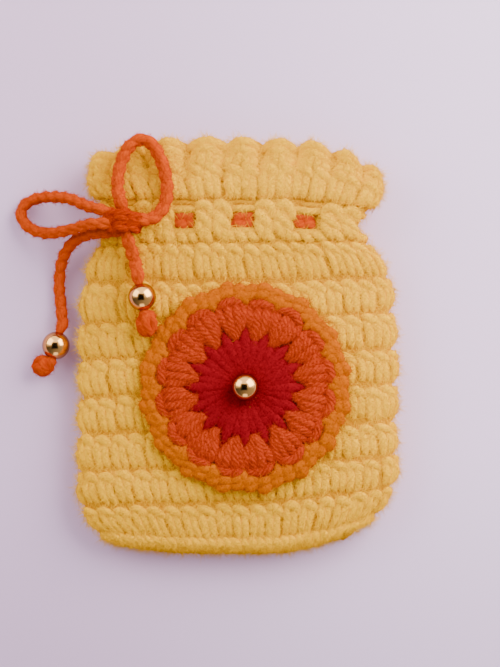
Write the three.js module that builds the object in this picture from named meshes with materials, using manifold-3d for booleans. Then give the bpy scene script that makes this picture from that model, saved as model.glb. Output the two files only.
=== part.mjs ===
// A small crocheted drawstring pouch lying on its back, with a bow at the neck and a round motif.
// Millimetres, +Z up. X runs across the pouch, Y from its base to its mouth, and the back lies on z = 0.
// The origin is under the middle of the pouch.

import * as THREE from 'three';
import { mergeVertices } from 'three/addons/utils/BufferGeometryUtils.js';
import Module from 'manifold-3d';

const wasm = await Module();
wasm.setup();

// Fabric
const GAP = 0.3; // clearance between neighbouring pieces
const WALL = 3.2; // thickness of the crocheted fabric
const NECK_WALL = 2.8; // thickness of the open eyelet round
const GROOVE_DEPTH = 0.7; // depth of the line between two rounds
const FLOOR_SHARE = 0.6; // where the hollow ends within the last round
const GROOVE_SHARE = 0.2; // part of a round's height that dips towards the line at each side
const FOLD_POWER = 3; // roundness of the side folds
const FOLD_CROWDING = 0.5; // how far the points of a loop crowd towards the folds
const FLATNESS = 1.12; // how far the flat front and back reach towards the folds
const BODY_POINTS = 40; // points round the pouch
const FRILL_POINTS = 108;

// The lines between the rounds of the body, from the neck to the base: the ends at the left and right
// folds, the height along Y at the middle, the thickness from back to front, and how late the line bends
// from its middle to its ends.
const BODY_LINES = [
  { leftX: -37.3, leftY: 28.2, midY: 28.7, rightX: 34.8, rightY: 29.4, thick: 14.6, bend: 1.3 },
  { leftX: -43.1, leftY: 17.9, midY: 17.7, rightX: 42.4, rightY: 19.3, thick: 12.0, bend: 1.3 },
  { leftX: -44.9, leftY: 5.9, midY: 7.0, rightX: 44.0, rightY: 9.2, thick: 12.0, bend: 1.3 },
  { leftX: -45.3, leftY: -4.7, midY: -3.0, rightX: 45.0, rightY: -1.3, thick: 12.0, bend: 1.3 },
  { leftX: -45.3, leftY: -15.3, midY: -13.6, rightX: 45.3, rightY: -11.3, thick: 12.0, bend: 1.3 },
  { leftX: -45.6, leftY: -25.6, midY: -24.4, rightX: 45.1, rightY: -21.9, thick: 12.0, bend: 1.3 },
  { leftX: -45.7, leftY: -36.4, midY: -35.4, rightX: 45.7, rightY: -31.4, thick: 12.0, bend: 1.3 },
  { leftX: -44.4, leftY: -46.7, midY: -45.6, rightX: 44.5, rightY: -40.9, thick: 11.6, bend: 1.5 },
  { leftX: -39.6, leftY: -54.4, midY: -56.4, rightX: 39.2, rightY: -49.4, thick: 9.4, bend: 2.4 },
];
// The rim that closes the base, below the last line
const BASE_LINES = [
  { leftX: -38.2, leftY: -55.8, midY: -58.2, rightX: 37.6, rightY: -50.8, thick: 8.4, bend: 2.8 },
  { leftX: -34.6, leftY: -57.2, midY: -59.7, rightX: 34.0, rightY: -52.6, thick: 4.6, bend: 3.2 },
];
const EYELET_LINES = [
  { leftX: -37.2, leftY: 28.5, midY: 29.0, rightX: 34.7, rightY: 29.7, thick: 14.8, bend: 1.3 },
  { leftX: -36.8, leftY: 35.0, midY: 35.4, rightX: 33.6, rightY: 34.2, thick: 15.4, bend: 1.3 },
  { leftX: -38.4, leftY: 40.9, midY: 41.2, rightX: 36.0, rightY: 38.2, thick: 15.4, bend: 3 },
];
const FRILL_BEND = 3;
// Frill: wave is the depth of the valleys between its scallops, cap the height of a scallop
const FRILL_LINES = [
  { leftX: -38.7, leftY: 41.2, midY: 41.5, rightX: 36.4, rightY: 38.5, thick: 15.4, wave: 0.2, cap: 0 },
  { leftX: -41.6, leftY: 44.2, midY: 46.8, rightX: 40.2, rightY: 40.9, thick: 15.4, wave: 0.7, cap: 0 },
  { leftX: -43.2, leftY: 47.4, midY: 52.0, rightX: 42.0, rightY: 43.8, thick: 15.4, wave: 1.2, cap: 0.6 },
  { leftX: -43.7, leftY: 49.4, midY: 55.6, rightX: 42.4, rightY: 46.0, thick: 14.4, wave: 1.4, cap: 4.2 },
];
const SCALLOP_START = -0.85; // first scallop's place across the front, -1 and 1 at the folds
const SCALLOP_PITCH = 0.2247;
const SCALLOP_ROUND = 0.7; // how full a scallop's arch is
const SCALLOP_EDGE_LOSS = 0.5; // scallops turn away at the folds and show less height

// Windows of the eyelet round, cut through front and back, and one at the right fold
const WINDOW_WIDTH = 7.1;
const WINDOW_HEIGHT = 4.3;
const WINDOW_Y = 35.9;
const WINDOW_XS = [-32.3, -15.4, 1.4, 19.7];
const SIDE_WINDOW = { x: 34.0, y: 34.4, depth: 5.0, height: 6.4 };

// Motif
const MOTIF_X = 2.0;
const MOTIF_Y = -12.7;
const MOTIF_Z = BODY_LINES[3].thick + GAP; // underside of the motif, on the front of the pouch
const PETALS = 16;
const SECTORS = PETALS * 5;
const CENTER_HOLE = 2.9;
const STAR_INNER = 13.4; // red edge at a petal's middle
const STAR_OUTER = 16.6; // red edge at a star point
const PETAL_OUTER = 26.3;
const SPIKE_INNER = 23.9; // tip of a border stitch between two petals
const BORDER_OUTER = 30.2;
const BORDER_SCALLOP = 0.7;
const CENTER_HEIGHT = 2.5;
const PETAL_HEIGHT = 2.4;
const PETAL_PUFF = 0.5; // height that a petal gains along its middle
const BORDER_HEIGHT = 2.2;
// Section of a ring from its inner edge (share 0) to its outer edge (share 1), as a part of its height
const FLAT_PROFILE = [
  { share: 0, lift: 0 },
  { share: 0, lift: 0.75 },
  { share: 0.5, lift: 1 },
  { share: 1, lift: 0.75 },
  { share: 1, lift: 0 },
];
const PUFFED_PROFILE = [
  { share: 0, lift: 0 },
  { share: 0, lift: 0.62 },
  { share: 0.15, lift: 0.94 },
  { share: 0.5, lift: 1 },
  { share: 0.88, lift: 0.94 },
  { share: 1, lift: 0.62 },
  { share: 1, lift: 0 },
];

// Beads
const BEAD_RADIUS = 3.8;
const BEAD_HOLE = 1.5;
const BEAD_SIDES = 16;
const MOTIF_BEAD_Z = 17.1; // the bead sits in the hole of the red ring
const THREAD_RADIUS = 0.4;
const THREAD_REACH = 4.7; // where the thread goes down into the motif, from the bead's middle
const THREAD_BULGE = 0.6; // how far the thread stands off the mouth of the bead's hole
const THREAD_SEAT = 0.85; // height of the red ring under the thread's ends, as a part of its full height

// Cord
const CORD_RADIUS = 1.85;
const CORD_SIDES = 8;
const DRAWN_HEIGHT = 3.6; // the drawstring is pressed flat behind the posts
const DRAWN_DEPTH = 2.4;
const DRAWN_START = -24.5; // where its front run, right turn and left turn lie
const DRAWN_RIGHT = 22.4;
const DRAWN_LEFT = -25.4;
const DRAWN_STEP = 5.4; // length of a straight stretch of the drawstring, and of the bow's cord
const CORD_STEP = 3.8;
const END_KNOT_RADIUS = 3.2;
const STEM_RADIUS = 1.1;
const KNOT = { x: -33.1, y: 36.1, z: 18.8, halfX: 5.0, halfY: 3.9, halfZ: 2.9 };
// Beads on the tails: the bead's middle, and the direction of its hole from the end knot to the tail
const FRONT_BEAD = { at: [-27.6, 13.6, 16.3], hole: [-0.17, 0.98, 0.07] };
const LEFT_BEAD = { at: [-52.1, -0.6, 4.0], hole: [0.45, 0.89, 0.06] };
const ENTRY_STRETCH = 2.4; // straight end of a tail in front of its bead

// Routes of the cord's middle line, each from the bow knot outwards. A tail's last stretch is worked out
// from its bead.
const LOOP_UP_ROUTE = [
  [-33.6, 40.4, 18.8],
  [-34.2, 43.2, 18.2],
  [-34.3, 46.7, 17.7],
  [-33.4, 51.2, 17.6],
  [-31.7, 55.1, 17.6],
  [-29.7, 57.3, 17.6],
  [-27.2, 58.1, 17.6],
  [-24.4, 56.6, 17.6],
  [-22.4, 53.2, 17.6],
  [-20.8, 48.6, 17.6],
  [-20.1, 43.8, 17.6],
  [-20.8, 39.4, 17.6],
  [-22.6, 36.4, 17.9],
  [-25.4, 34.9, 18.3],
  [-27.4, 34.9, 18.6],
];
const LOOP_LEFT_ROUTE = [
  [-39.0, 37.9, 19.0],
  [-42.0, 38.6, 17.4],
  [-48.6, 41.6, 11.8],
  [-53.4, 42.5, 7.4],
  [-57.4, 42.3, 4.2],
  [-60.6, 40.9, 2.6],
  [-62.0, 38.4, 2.3],
  [-60.9, 35.0, 3.2],
  [-57.9, 32.2, 5.6],
  [-53.4, 31.2, 9.4],
  [-47.7, 32.1, 13.6],
  [-42.4, 33.6, 17.2],
  [-39.0, 34.0, 19.0],
];
const TAIL_FRONT_ROUTE = [
  [-31.9, 31.9, 18.4],
  [-31.4, 29.9, 17.8],
  [-30.4, 26.6, 16.6],
  [-29.2, 23.0, 15.7],
];
const TAIL_LEFT_ROUTE = [
  [-39.0, 31.6, 14.6],
  [-42.6, 31.3, 12.6],
  [-46.6, 29.8, 9.2],
  [-49.6, 26.6, 5.4],
  [-51.0, 22.4, 2.9],
  [-51.2, 17.6, 2.1],
  [-50.7, 12.4, 2.0],
  [-49.6, 8.6, 2.8],
];

const yarn = (color) => new THREE.MeshStandardMaterial({ color, roughness: 0.95, metalness: 0 });
const pale = yarn('#e2bd6d');
const orange = yarn('#c2521c');
const goldBead = new THREE.MeshStandardMaterial({ color: '#c79a52', roughness: 0.18, metalness: 1 });

const pouch = new THREE.Group();

function addPiece(name, geometry, material) {
  const mesh = new THREE.Mesh(geometry, material.clone());
  mesh.name = name;
  pouch.add(mesh);
  return mesh;
}

function signedVolume(points, faces) {
  let total = 0;
  for (let i = 0; i < faces.length; i += 3) {
    const [a, b, c] = [points[faces[i]], points[faces[i + 1]], points[faces[i + 2]]];
    total += a.dot(b.clone().cross(c)) / 6;
  }
  return total;
}

function closedGeometry(points, faces) {
  const outward = signedVolume(points, faces) < 0 ? faces.slice().reverse() : faces;
  const geometry = new THREE.BufferGeometry().setFromPoints(points);
  geometry.setIndex(outward);
  geometry.computeVertexNormals();
  return geometry;
}

// Joins each loop of points to the next with a band of triangles.
function bandFaces(loops, closed) {
  const count = loops[0].length;
  const bands = closed ? loops.length : loops.length - 1;
  const faces = [];
  for (let band = 0; band < bands; band += 1) {
    const here = band * count;
    const next = ((band + 1) % loops.length) * count;
    for (let i = 0; i < count; i += 1) {
      const j = (i + 1) % count;
      faces.push(here + i, here + j, next + j);
      faces.push(here + i, next + j, next + i);
    }
  }
  return faces;
}

// Closes a loop that runs along the front and back along the back with a strip between the two.
function stripFaces(first, count, flip) {
  const faces = [];
  const half = count / 2;
  for (let i = 0; i < half; i += 1) {
    const front = first + i;
    const back = first + ((count - i) % count);
    const backNext = first + count - i - 1;
    const corners = [];
    if (i < half - 1) corners.push([front, front + 1, backNext]);
    if (i > 0) corners.push([front, i < half - 1 ? backNext : front + 1, back]);
    corners.forEach(([a, b, c]) => faces.push(...(flip ? [a, c, b] : [a, b, c])));
  }
  return faces;
}

function ringSolid(loops) {
  return closedGeometry(loops.flat(), bandFaces(loops, true));
}

function bagSolid(loops) {
  const count = loops[0].length;
  const last = (loops.length - 1) * count;
  const faces = bandFaces(loops, false);
  faces.push(...stripFaces(0, count, true));
  faces.push(...stripFaces(last, count, false));
  return closedGeometry(loops.flat(), faces);
}

function mixLines(a, b, share) {
  const line = {};
  Object.keys(a).forEach((key) => {
    line[key] = a[key] + (b[key] - a[key]) * share;
  });
  return line;
}

// Place of a scallop across the front: whole numbers at the scallops' middles
const scallopPhase = (across) => (across - SCALLOP_START) / SCALLOP_PITCH;

function scallopArch(across) {
  const arch = Math.abs(Math.cos(Math.PI * scallopPhase(across))) ** SCALLOP_ROUND;
  return arch * (1 - SCALLOP_EDGE_LOSS * across ** 4);
}

// One loop round the pouch along a line of the tables, set in from the outer face by inset.
// The first half runs along the front from left to right, the second along the back.
function pouchLoop(line, inset, count) {
  const half = count / 2;
  const middleX = (line.leftX + line.rightX) / 2;
  const halfWidth = (line.rightX - line.leftX) / 2 - inset;
  const points = [];
  for (let i = 0; i < count; i += 1) {
    const onFront = i < half;
    const step = onFront ? i : count - i;
    const even = -1 + (2 * step) / half;
    const across = even + FOLD_CROWDING * (Math.sin((Math.PI * even) / 2) - even);
    const fold = (1 - Math.abs(across) ** FOLD_POWER) ** (1 / FOLD_POWER);
    const valley = (line.wave ?? 0) * 0.5 * (1 - Math.cos(2 * Math.PI * scallopPhase(across)));
    const halfThick = (line.thick / 2 - inset - valley) * Math.min(1, FLATNESS * fold);
    const sideY = across < 0 ? line.leftY : line.rightY;
    const y = line.midY + (sideY - line.midY) * Math.abs(across) ** line.bend;
    const x = middleX + halfWidth * across;
    const cap = (line.cap ?? 0) * scallopArch(across);
    points.push(new THREE.Vector3(x, y + cap, line.thick / 2 + (onFront ? halfThick : -halfThick)));
  }
  return points;
}

// Pouch body
function bodyGeometry() {
  const outer = [];
  BODY_LINES.slice(0, -1).forEach((line, i) => {
    const below = BODY_LINES[i + 1];
    const dip = i === 0 ? 0 : GROOVE_DEPTH;
    outer.push(pouchLoop(line, dip, BODY_POINTS));
    outer.push(pouchLoop(mixLines(line, below, GROOVE_SHARE), 0, BODY_POINTS));
    outer.push(pouchLoop(mixLines(line, below, 1 - GROOVE_SHARE), 0, BODY_POINTS));
  });
  const lastLine = BODY_LINES[BODY_LINES.length - 1];
  outer.push(pouchLoop(lastLine, GROOVE_DEPTH, BODY_POINTS));
  BASE_LINES.forEach((line) => outer.push(pouchLoop(line, 0, BODY_POINTS)));
  const upperLines = BODY_LINES.slice(0, -1);
  const innerFloor = mixLines(upperLines.at(-1), lastLine, FLOOR_SHARE);
  const innerLines = [...upperLines, innerFloor];
  const inner = innerLines.map((line) => pouchLoop(line, WALL, BODY_POINTS));
  return bagSolid([...inner.reverse(), ...outer]);
}

// Eyelet round
function toSolid(geometry) {
  const bare = new THREE.BufferGeometry();
  bare.setAttribute('position', geometry.getAttribute('position').clone());
  if (geometry.index) bare.setIndex(geometry.index.clone());
  const merged = mergeVertices(bare, 1e-4);
  const vertProperties = Float32Array.from(merged.getAttribute('position').array);
  const triVerts = Uint32Array.from(merged.index.array);
  return new wasm.Manifold(new wasm.Mesh({ numProp: 3, vertProperties, triVerts }));
}

function fromSolid(solid) {
  const mesh = solid.getMesh();
  const geometry = new THREE.BufferGeometry();
  geometry.setAttribute('position', new THREE.BufferAttribute(mesh.vertProperties, 3));
  geometry.setIndex(new THREE.BufferAttribute(mesh.triVerts, 1));
  geometry.computeVertexNormals();
  return geometry;
}

function eyeletGeometry() {
  const outer = EYELET_LINES.map((line) => pouchLoop(line, 0, BODY_POINTS));
  const inner = EYELET_LINES.map((line) => pouchLoop(line, NECK_WALL, BODY_POINTS));
  let round = toSolid(ringSolid([...outer, ...inner.reverse()]));
  const through = 2 * EYELET_LINES[2].thick;
  WINDOW_XS.forEach((x) => {
    const window = new THREE.BoxGeometry(WINDOW_WIDTH, WINDOW_HEIGHT, through);
    window.translate(x, WINDOW_Y, EYELET_LINES[2].thick / 2);
    round = round.subtract(toSolid(window));
  });
  const side = new THREE.BoxGeometry(SIDE_WINDOW.depth, WINDOW_HEIGHT, SIDE_WINDOW.height);
  side.translate(SIDE_WINDOW.x, SIDE_WINDOW.y, EYELET_LINES[1].thick / 2);
  round = round.subtract(toSolid(side));
  return fromSolid(round);
}

// Frill
function frillGeometry() {
  const lines = FRILL_LINES.map((line) => ({ ...line, bend: FRILL_BEND }));
  const outer = lines.map((line) => pouchLoop(line, 0, FRILL_POINTS));
  const inner = lines.map((line) => pouchLoop(line, NECK_WALL, FRILL_POINTS));
  return ringSolid([...outer, ...inner.reverse()]);
}

// Cords
function sectionShape(halfWidth, halfHeight) {
  const points = new THREE.EllipseCurve(0, 0, halfWidth, halfHeight).getPoints(CORD_SIDES);
  return new THREE.Shape(points.slice(0, CORD_SIDES));
}

function tubeGeometry(points, shape, step) {
  const path = new THREE.CatmullRomCurve3(points, false, 'centripetal');
  const steps = Math.round(path.getLength() / step);
  return new THREE.ExtrudeGeometry(shape, { steps, extrudePath: path, bevelEnabled: false });
}

function cordGeometry(route) {
  const points = route.map(([x, y, z]) => new THREE.Vector3(x, y, z));
  return tubeGeometry(points, sectionShape(CORD_RADIUS, CORD_RADIUS), CORD_STEP);
}

// The drawstring runs inside the eyelet round, from the left window along the front, round the right fold,
// along the back and round the left fold to the window again.
function drawstringGeometry() {
  const middleZ = EYELET_LINES[1].thick / 2;
  const reach = middleZ - NECK_WALL - GAP - DRAWN_DEPTH / 2;
  const at = (x, degrees) => {
    const angle = THREE.MathUtils.degToRad(degrees);
    return new THREE.Vector3(x + reach * Math.cos(angle), WINDOW_Y, middleZ + reach * Math.sin(angle));
  };
  const route = [DRAWN_START, DRAWN_START / 2, 0, DRAWN_RIGHT / 2].map((x) => at(x, 90));
  [90, 45, 0, -45, -90].forEach((degrees) => route.push(at(DRAWN_RIGHT, degrees)));
  [DRAWN_RIGHT / 2, 0, DRAWN_LEFT / 2].forEach((x) => route.push(at(x, -90)));
  [-90, -135, -180, -215].forEach((degrees) => route.push(at(DRAWN_LEFT, degrees)));
  return tubeGeometry(route, sectionShape(DRAWN_DEPTH / 2, DRAWN_HEIGHT / 2), DRAWN_STEP);
}

function knotGeometry() {
  const arc = new THREE.EllipseCurve(0, 0, KNOT.halfY, KNOT.halfX, -Math.PI / 2, Math.PI / 2);
  const geometry = new THREE.LatheGeometry(arc.getPoints(10), 14);
  geometry.scale(1, 1, KNOT.halfZ / KNOT.halfY);
  geometry.rotateZ(Math.PI / 2);
  geometry.translate(KNOT.x, KNOT.y, KNOT.z);
  return geometry;
}

// Beads and the yarn balls that stop them
function beadGeometry() {
  const mouth = Math.acos(BEAD_HOLE / BEAD_RADIUS);
  const arc = new THREE.EllipseCurve(0, 0, BEAD_RADIUS, BEAD_RADIUS, -mouth, mouth).getPoints(10);
  return new THREE.LatheGeometry([...arc, arc[0].clone()], BEAD_SIDES);
}

function endKnotGeometry(stemEnd) {
  const mouth = Math.acos(STEM_RADIUS / END_KNOT_RADIUS);
  const arc = new THREE.EllipseCurve(0, 0, END_KNOT_RADIUS, END_KNOT_RADIUS, -Math.PI / 2, mouth);
  const stem = [new THREE.Vector2(STEM_RADIUS, stemEnd), new THREE.Vector2(0, stemEnd)];
  return new THREE.LatheGeometry([...arc.getPoints(9), ...stem], 12);
}

// Adds a tail with its bead and end knot in line with the bead's hole.
function addTail(side, route, bead) {
  const middle = new THREE.Vector3(...bead.at);
  const axis = new THREE.Vector3(...bead.hole).normalize();
  const along = (distance) => middle.clone().addScaledVector(axis, distance);
  const entry = BEAD_RADIUS + GAP;
  const ending = [along(entry + ENTRY_STRETCH), along(entry)].map((point) => point.toArray());
  addPiece(`tail_${side}`, cordGeometry([...route, ...ending]), orange);
  const turn = new THREE.Quaternion().setFromUnitVectors(new THREE.Vector3(0, 1, 0), axis);
  const beadMesh = addPiece(`tail_bead_${side}`, beadGeometry(), goldBead);
  beadMesh.position.copy(middle);
  beadMesh.quaternion.copy(turn);
  const spacing = BEAD_RADIUS + END_KNOT_RADIUS + GAP;
  const endMesh = addPiece(`end_knot_${side}`, endKnotGeometry(spacing + BEAD_RADIUS - GAP), orange);
  endMesh.position.copy(along(-spacing));
  endMesh.quaternion.copy(turn);
}

// Motif: each ring runs from an inner to an outer edge, both worked out for each angle.
function motifRing(innerEdge, outerEdge, height, profile) {
  const angles = Array.from({ length: SECTORS }, (_, i) => (2 * Math.PI * i) / SECTORS);
  const loopAt = (share, lift) => angles.map((angle) => {
    const radius = innerEdge(angle) + (outerEdge(angle) - innerEdge(angle)) * share;
    const x = MOTIF_X + radius * Math.cos(angle);
    const y = MOTIF_Y + radius * Math.sin(angle);
    return new THREE.Vector3(x, y, MOTIF_Z + height(angle) * lift);
  });
  return ringSolid(profile.map(({ share, lift }) => loopAt(share, lift)));
}

// 1 at a petal's middle, 0 between two petals
const petalWave = (angle) => 0.5 - 0.5 * Math.cos(PETALS * angle);
const starEdge = (angle) => STAR_OUTER + (STAR_INNER - STAR_OUTER) * petalWave(angle);
const borderEdge = (angle) => SPIKE_INNER + (PETAL_OUTER - SPIKE_INNER) * petalWave(angle) ** 0.5;
const motifEdge = (angle) => BORDER_OUTER + BORDER_SCALLOP * petalWave(angle);

// The thread comes up out of the red ring, runs through the bead and goes down again at the other side.
function threadGeometry() {
  const seatZ = MOTIF_Z + CENTER_HEIGHT * THREAD_SEAT + GAP;
  const halfRoute = [
    [THREAD_REACH, seatZ],
    [BEAD_RADIUS + THREAD_BULGE, MOTIF_BEAD_Z - THREAD_BULGE],
    [BEAD_RADIUS / 2, MOTIF_BEAD_Z],
  ];
  const route = [...halfRoute, ...halfRoute.map(([y, z]) => [-y, z]).reverse()];
  const points = route.map(([y, z]) => new THREE.Vector3(MOTIF_X, MOTIF_Y + y, z));
  return tubeGeometry(points, sectionShape(THREAD_RADIUS, THREAD_RADIUS), 2 * THREAD_RADIUS);
}

addPiece('pouch_body', bodyGeometry(), pale);
addPiece('eyelet_round', eyeletGeometry(), pale);
addPiece('frill', frillGeometry(), pale);
addPiece('drawstring', drawstringGeometry(), orange);
addPiece('bow_knot', knotGeometry(), orange);
addPiece('bow_loop_up', cordGeometry(LOOP_UP_ROUTE), orange);
addPiece('bow_loop_left', cordGeometry(LOOP_LEFT_ROUTE), orange);
addTail('front', TAIL_FRONT_ROUTE, FRONT_BEAD);
addTail('left', TAIL_LEFT_ROUTE, LEFT_BEAD);

const starInside = (angle) => starEdge(angle) - GAP / 2;
const petalInside = (angle) => starEdge(angle) + GAP / 2;
const petalOutside = (angle) => borderEdge(angle) - GAP / 2;
const borderInside = (angle) => borderEdge(angle) + GAP / 2;
const petalHeight = (angle) => PETAL_HEIGHT + PETAL_PUFF * petalWave(angle);
const centerHeight = () => CENTER_HEIGHT;
const borderHeight = () => BORDER_HEIGHT;
const centerRing = motifRing(() => CENTER_HOLE, starInside, centerHeight, FLAT_PROFILE);
addPiece('motif_center', centerRing, yarn('#a01216'));
const petalRing = motifRing(petalInside, petalOutside, petalHeight, PUFFED_PROFILE);
addPiece('motif_petals', petalRing, yarn('#c04a1e'));
const borderRing = motifRing(borderInside, motifEdge, borderHeight, FLAT_PROFILE);
addPiece('motif_border', borderRing, yarn('#e08a10'));
const motifBead = addPiece('motif_bead', beadGeometry(), goldBead);
motifBead.position.set(MOTIF_X, MOTIF_Y, MOTIF_BEAD_Z);
addPiece('bead_thread', threadGeometry(), yarn('#6b0a0d'));

export default pouch;
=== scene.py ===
import math
import random

import bpy
import numpy as np
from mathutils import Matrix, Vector


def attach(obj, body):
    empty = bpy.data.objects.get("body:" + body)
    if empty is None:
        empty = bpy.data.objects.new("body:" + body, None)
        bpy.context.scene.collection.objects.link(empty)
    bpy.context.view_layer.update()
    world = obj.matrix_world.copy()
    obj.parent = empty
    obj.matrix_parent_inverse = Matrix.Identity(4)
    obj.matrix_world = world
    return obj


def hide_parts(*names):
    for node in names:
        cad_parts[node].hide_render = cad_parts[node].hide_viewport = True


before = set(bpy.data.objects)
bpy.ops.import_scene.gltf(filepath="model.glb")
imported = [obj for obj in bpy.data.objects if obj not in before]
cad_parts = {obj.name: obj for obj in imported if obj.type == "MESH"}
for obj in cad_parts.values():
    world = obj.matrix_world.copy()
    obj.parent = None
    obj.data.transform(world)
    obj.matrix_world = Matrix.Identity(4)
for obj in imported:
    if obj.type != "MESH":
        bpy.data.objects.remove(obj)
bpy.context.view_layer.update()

# Pouch body
# A tube of eight rounds of tall crochet stitches in pale yellow yarn. Each stitch is a hood of yarn over two
# long slanting legs, hooked into the top of the round below. The tube starts from a round of chain, and its
# base is drawn together and closed by a seam of chain.
MM = 0.001  # in metres
ACROSS_POINTS = 400  # points from the left fold to the right, before they are set at even distances
LOOP_POINTS = 192  # points round the pouch
LINE_STEPS = 4  # loops from one line to the next
LOWEST = 0.1  # yarn is pressed flat on the surface that the pouch lies on
BACK_CLEARANCE = 0.45  # keeps the loose yarn of the back off the surface that it lies on
FLATNESS = 1.12  # how far the flat front and back reach towards the side folds
# Lines between the rounds, base to neck: height in rounds, left x, left y, middle y, right x, right y,
# thickness from back to front, and how late the line bends from its middle to its ends
BODY_LINES = [
    (-0.36, -33.6, -57.2, -59.7, 32.6, -52.6, 3.4, 3.2),
    (-0.18, -37.6, -55.8, -58.2, 36.6, -50.9, 8.2, 2.8),
    (0, -40.0, -54.4, -56.4, 39.2, -49.5, 9.4, 2.4),
    (1, -45.2, -46.7, -45.6, 44.9, -40.9, 11.6, 1.5),
    (2, -46.1, -36.4, -35.4, 46.0, -31.4, 12.0, 1.3),
    (3, -46.0, -25.6, -24.4, 45.5, -21.9, 12.0, 1.3),
    (4, -45.8, -15.3, -13.6, 45.8, -11.3, 12.0, 1.3),
    (5, -45.8, -4.7, -3.0, 45.6, -1.3, 12.0, 1.3),
    (6, -45.6, 5.9, 7.0, 44.9, 9.2, 12.0, 1.3),
    (7, -44.6, 17.9, 17.7, 43.8, 19.3, 12.0, 1.3),
    (8, -40.4, 28.2, 28.7, 38.0, 29.4, 14.6, 1.3),
]
THINNEST = 2.4  # where front and back meet in the seam along the base
SIDE_PINCH = 0.9  # how much narrower the pouch is between two rounds than at their middle
BODY_EXTRA = (0.24, 0.6)  # rounds that the form reaches on past the lowest line and past the neck
BODY_START = 0.6  # rounds of the form below the first round
BODY_SPAN = 9.2  # rounds that the form reaches over in all
STITCH = (5.0, 10.5)  # width and height of one tall stitch
BODY_STITCHES = 38
BODY_ROUNDS = 8
WALL_FACE = 1.25  # depth of the plain fabric under the stitches, and of its inner face
WALL_BACK = 2.6
WALL_UV = 100  # how often the yarn's pattern repeats on a metre of plain fabric
MIDDLE_TONE = 0.5
PLY_TURN = 9.0  # length of yarn in which a ply goes once round
PLY_RELIEF = 0.07  # height of a ply's ridge, as a part of the yarn's radius
ASIDE = (0.31, 0.17, 0.93)  # no strand starts this way
TIP = 0.6  # length of a strand's closed tip, as a part of its radius


def smooth_rows(rows, steps):
    """Rows of numbers, with smooth rows put in between."""
    rows = np.array(rows, float)
    padded = np.vstack([2 * rows[0] - rows[1], rows, 2 * rows[-1] - rows[-2]])
    result = []
    for k in range(len(rows) - 1):
        a, b, c, d = padded[k:k + 4]
        for t in np.arange(steps) / steps:
            bend = (2 * a - 5 * b + 4 * c - d) * t * t + (3 * b - a - 3 * c + d) * t ** 3
            result.append(b + 0.5 * ((c - a) * t + bend))
    result.append(rows[-1])
    return np.array(result)


def run_on(rows, before, after):
    """Rows with one more at each end, further on along the first column by before and after."""
    first = rows[0] + (rows[0] - rows[1]) * before / (rows[1][0] - rows[0][0])
    last = rows[-1] + (rows[-1] - rows[-2]) * after / (rows[-1][0] - rows[-2][0])
    return np.vstack([first, rows, last])


def run_of(points):
    """The distance along a line of points to each of them."""
    return np.concatenate([[0], np.cumsum(np.linalg.norm(np.diff(points, axis=0), axis=1))])


def points_at(places, points):
    """Points at the given distances along a line of points."""
    run = run_of(points)
    return np.stack([np.interp(places, run, points[:, k]) for k in range(3)], axis=1)


def even_loop(points, count):
    """A closed loop of points, set at even distances along it."""
    closed = np.vstack([points, points[:1]])
    return points_at(np.arange(count) / count * run_of(closed)[-1], closed)


def pouch_loop(line, inset=0.0):
    """One loop round the pouch, along the front from left to right and back along the back."""
    left_x, left_y, mid_y, right_x, right_y, thick, bend = line
    across = -np.cos(np.linspace(0, np.pi, ACROSS_POINTS))
    side = np.concatenate([np.ones(ACROSS_POINTS), -np.ones(ACROSS_POINTS - 2)])
    across = np.concatenate([across, across[-2:0:-1]])
    fold = np.cbrt(1 - np.abs(across) ** 3)
    x = (left_x + right_x) / 2 + ((right_x - left_x) / 2 - inset) * across
    y = mid_y + (np.where(across < 0, left_y, right_y) - mid_y) * np.abs(across) ** bend
    half = thick / 2 - inset - np.where(side < 0, BACK_CLEARANCE, 0)
    z = thick / 2 + side * half * np.minimum(1, FLATNESS * fold)
    return even_loop(np.stack([x, y, z], axis=1), LOOP_POINTS) * MM


def pouch_loops(lines, inset=0.0):
    return np.array([pouch_loop(line, inset) for line in lines])


def new_piece(name, mesh):
    piece = bpy.data.objects.new(name, mesh)
    bpy.context.scene.collection.objects.link(piece)
    return piece


def plain_mesh(name, points, faces, corners, attributes=None):
    """A mesh from points and faces, with yarn_uv from corners and an attribute for each further list."""
    mesh = bpy.data.meshes.new(name)
    mesh.from_pydata([tuple(p) for p in points], [], faces)
    layer = mesh.uv_layers.new(name="yarn_uv")
    layer.data.foreach_set("uv", np.array(corners, "f").ravel())
    for key, (kind, values) in (attributes or {}).items():
        attribute = mesh.attributes.new(key, kind, "POINT")
        field = "vector" if kind == "FLOAT_VECTOR" else "value"
        attribute.data.foreach_set(field, np.array(values, "f").ravel())
    mesh.polygons.foreach_set("use_smooth", [True] * len(mesh.polygons))
    mesh.update()
    return mesh


def outward_of(loops):
    """The way out of a fabric at each point of its loops."""
    along = np.roll(loops, -1, axis=1) - np.roll(loops, 1, axis=1)
    outward = np.cross(along, np.gradient(loops, axis=0))
    return outward / np.linalg.norm(outward, axis=2, keepdims=True)


def surface_form(name, loops, heights, around=None):
    """The bare outer face of a fabric: its UV runs once round it, and from loop to loop by heights."""
    rows, count = loops.shape[:2]
    around = np.arange(count + 1) / count if around is None else around
    faces, corners = [], []
    for j in range(rows - 1):
        for i in range(count):
            k = (i + 1) % count
            faces.append((j * count + i, j * count + k, (j + 1) * count + k, (j + 1) * count + i))
            left, right = around[i], around[i + 1]
            low, high = heights[j], heights[j + 1]
            corners += [(left, low), (right, low), (right, high), (left, high)]
    points = loops.reshape(-1, 3)
    mesh = plain_mesh(name, points, faces, corners, {"outward": ("FLOAT_VECTOR", outward_of(loops))})
    return new_piece(name, mesh)


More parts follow.
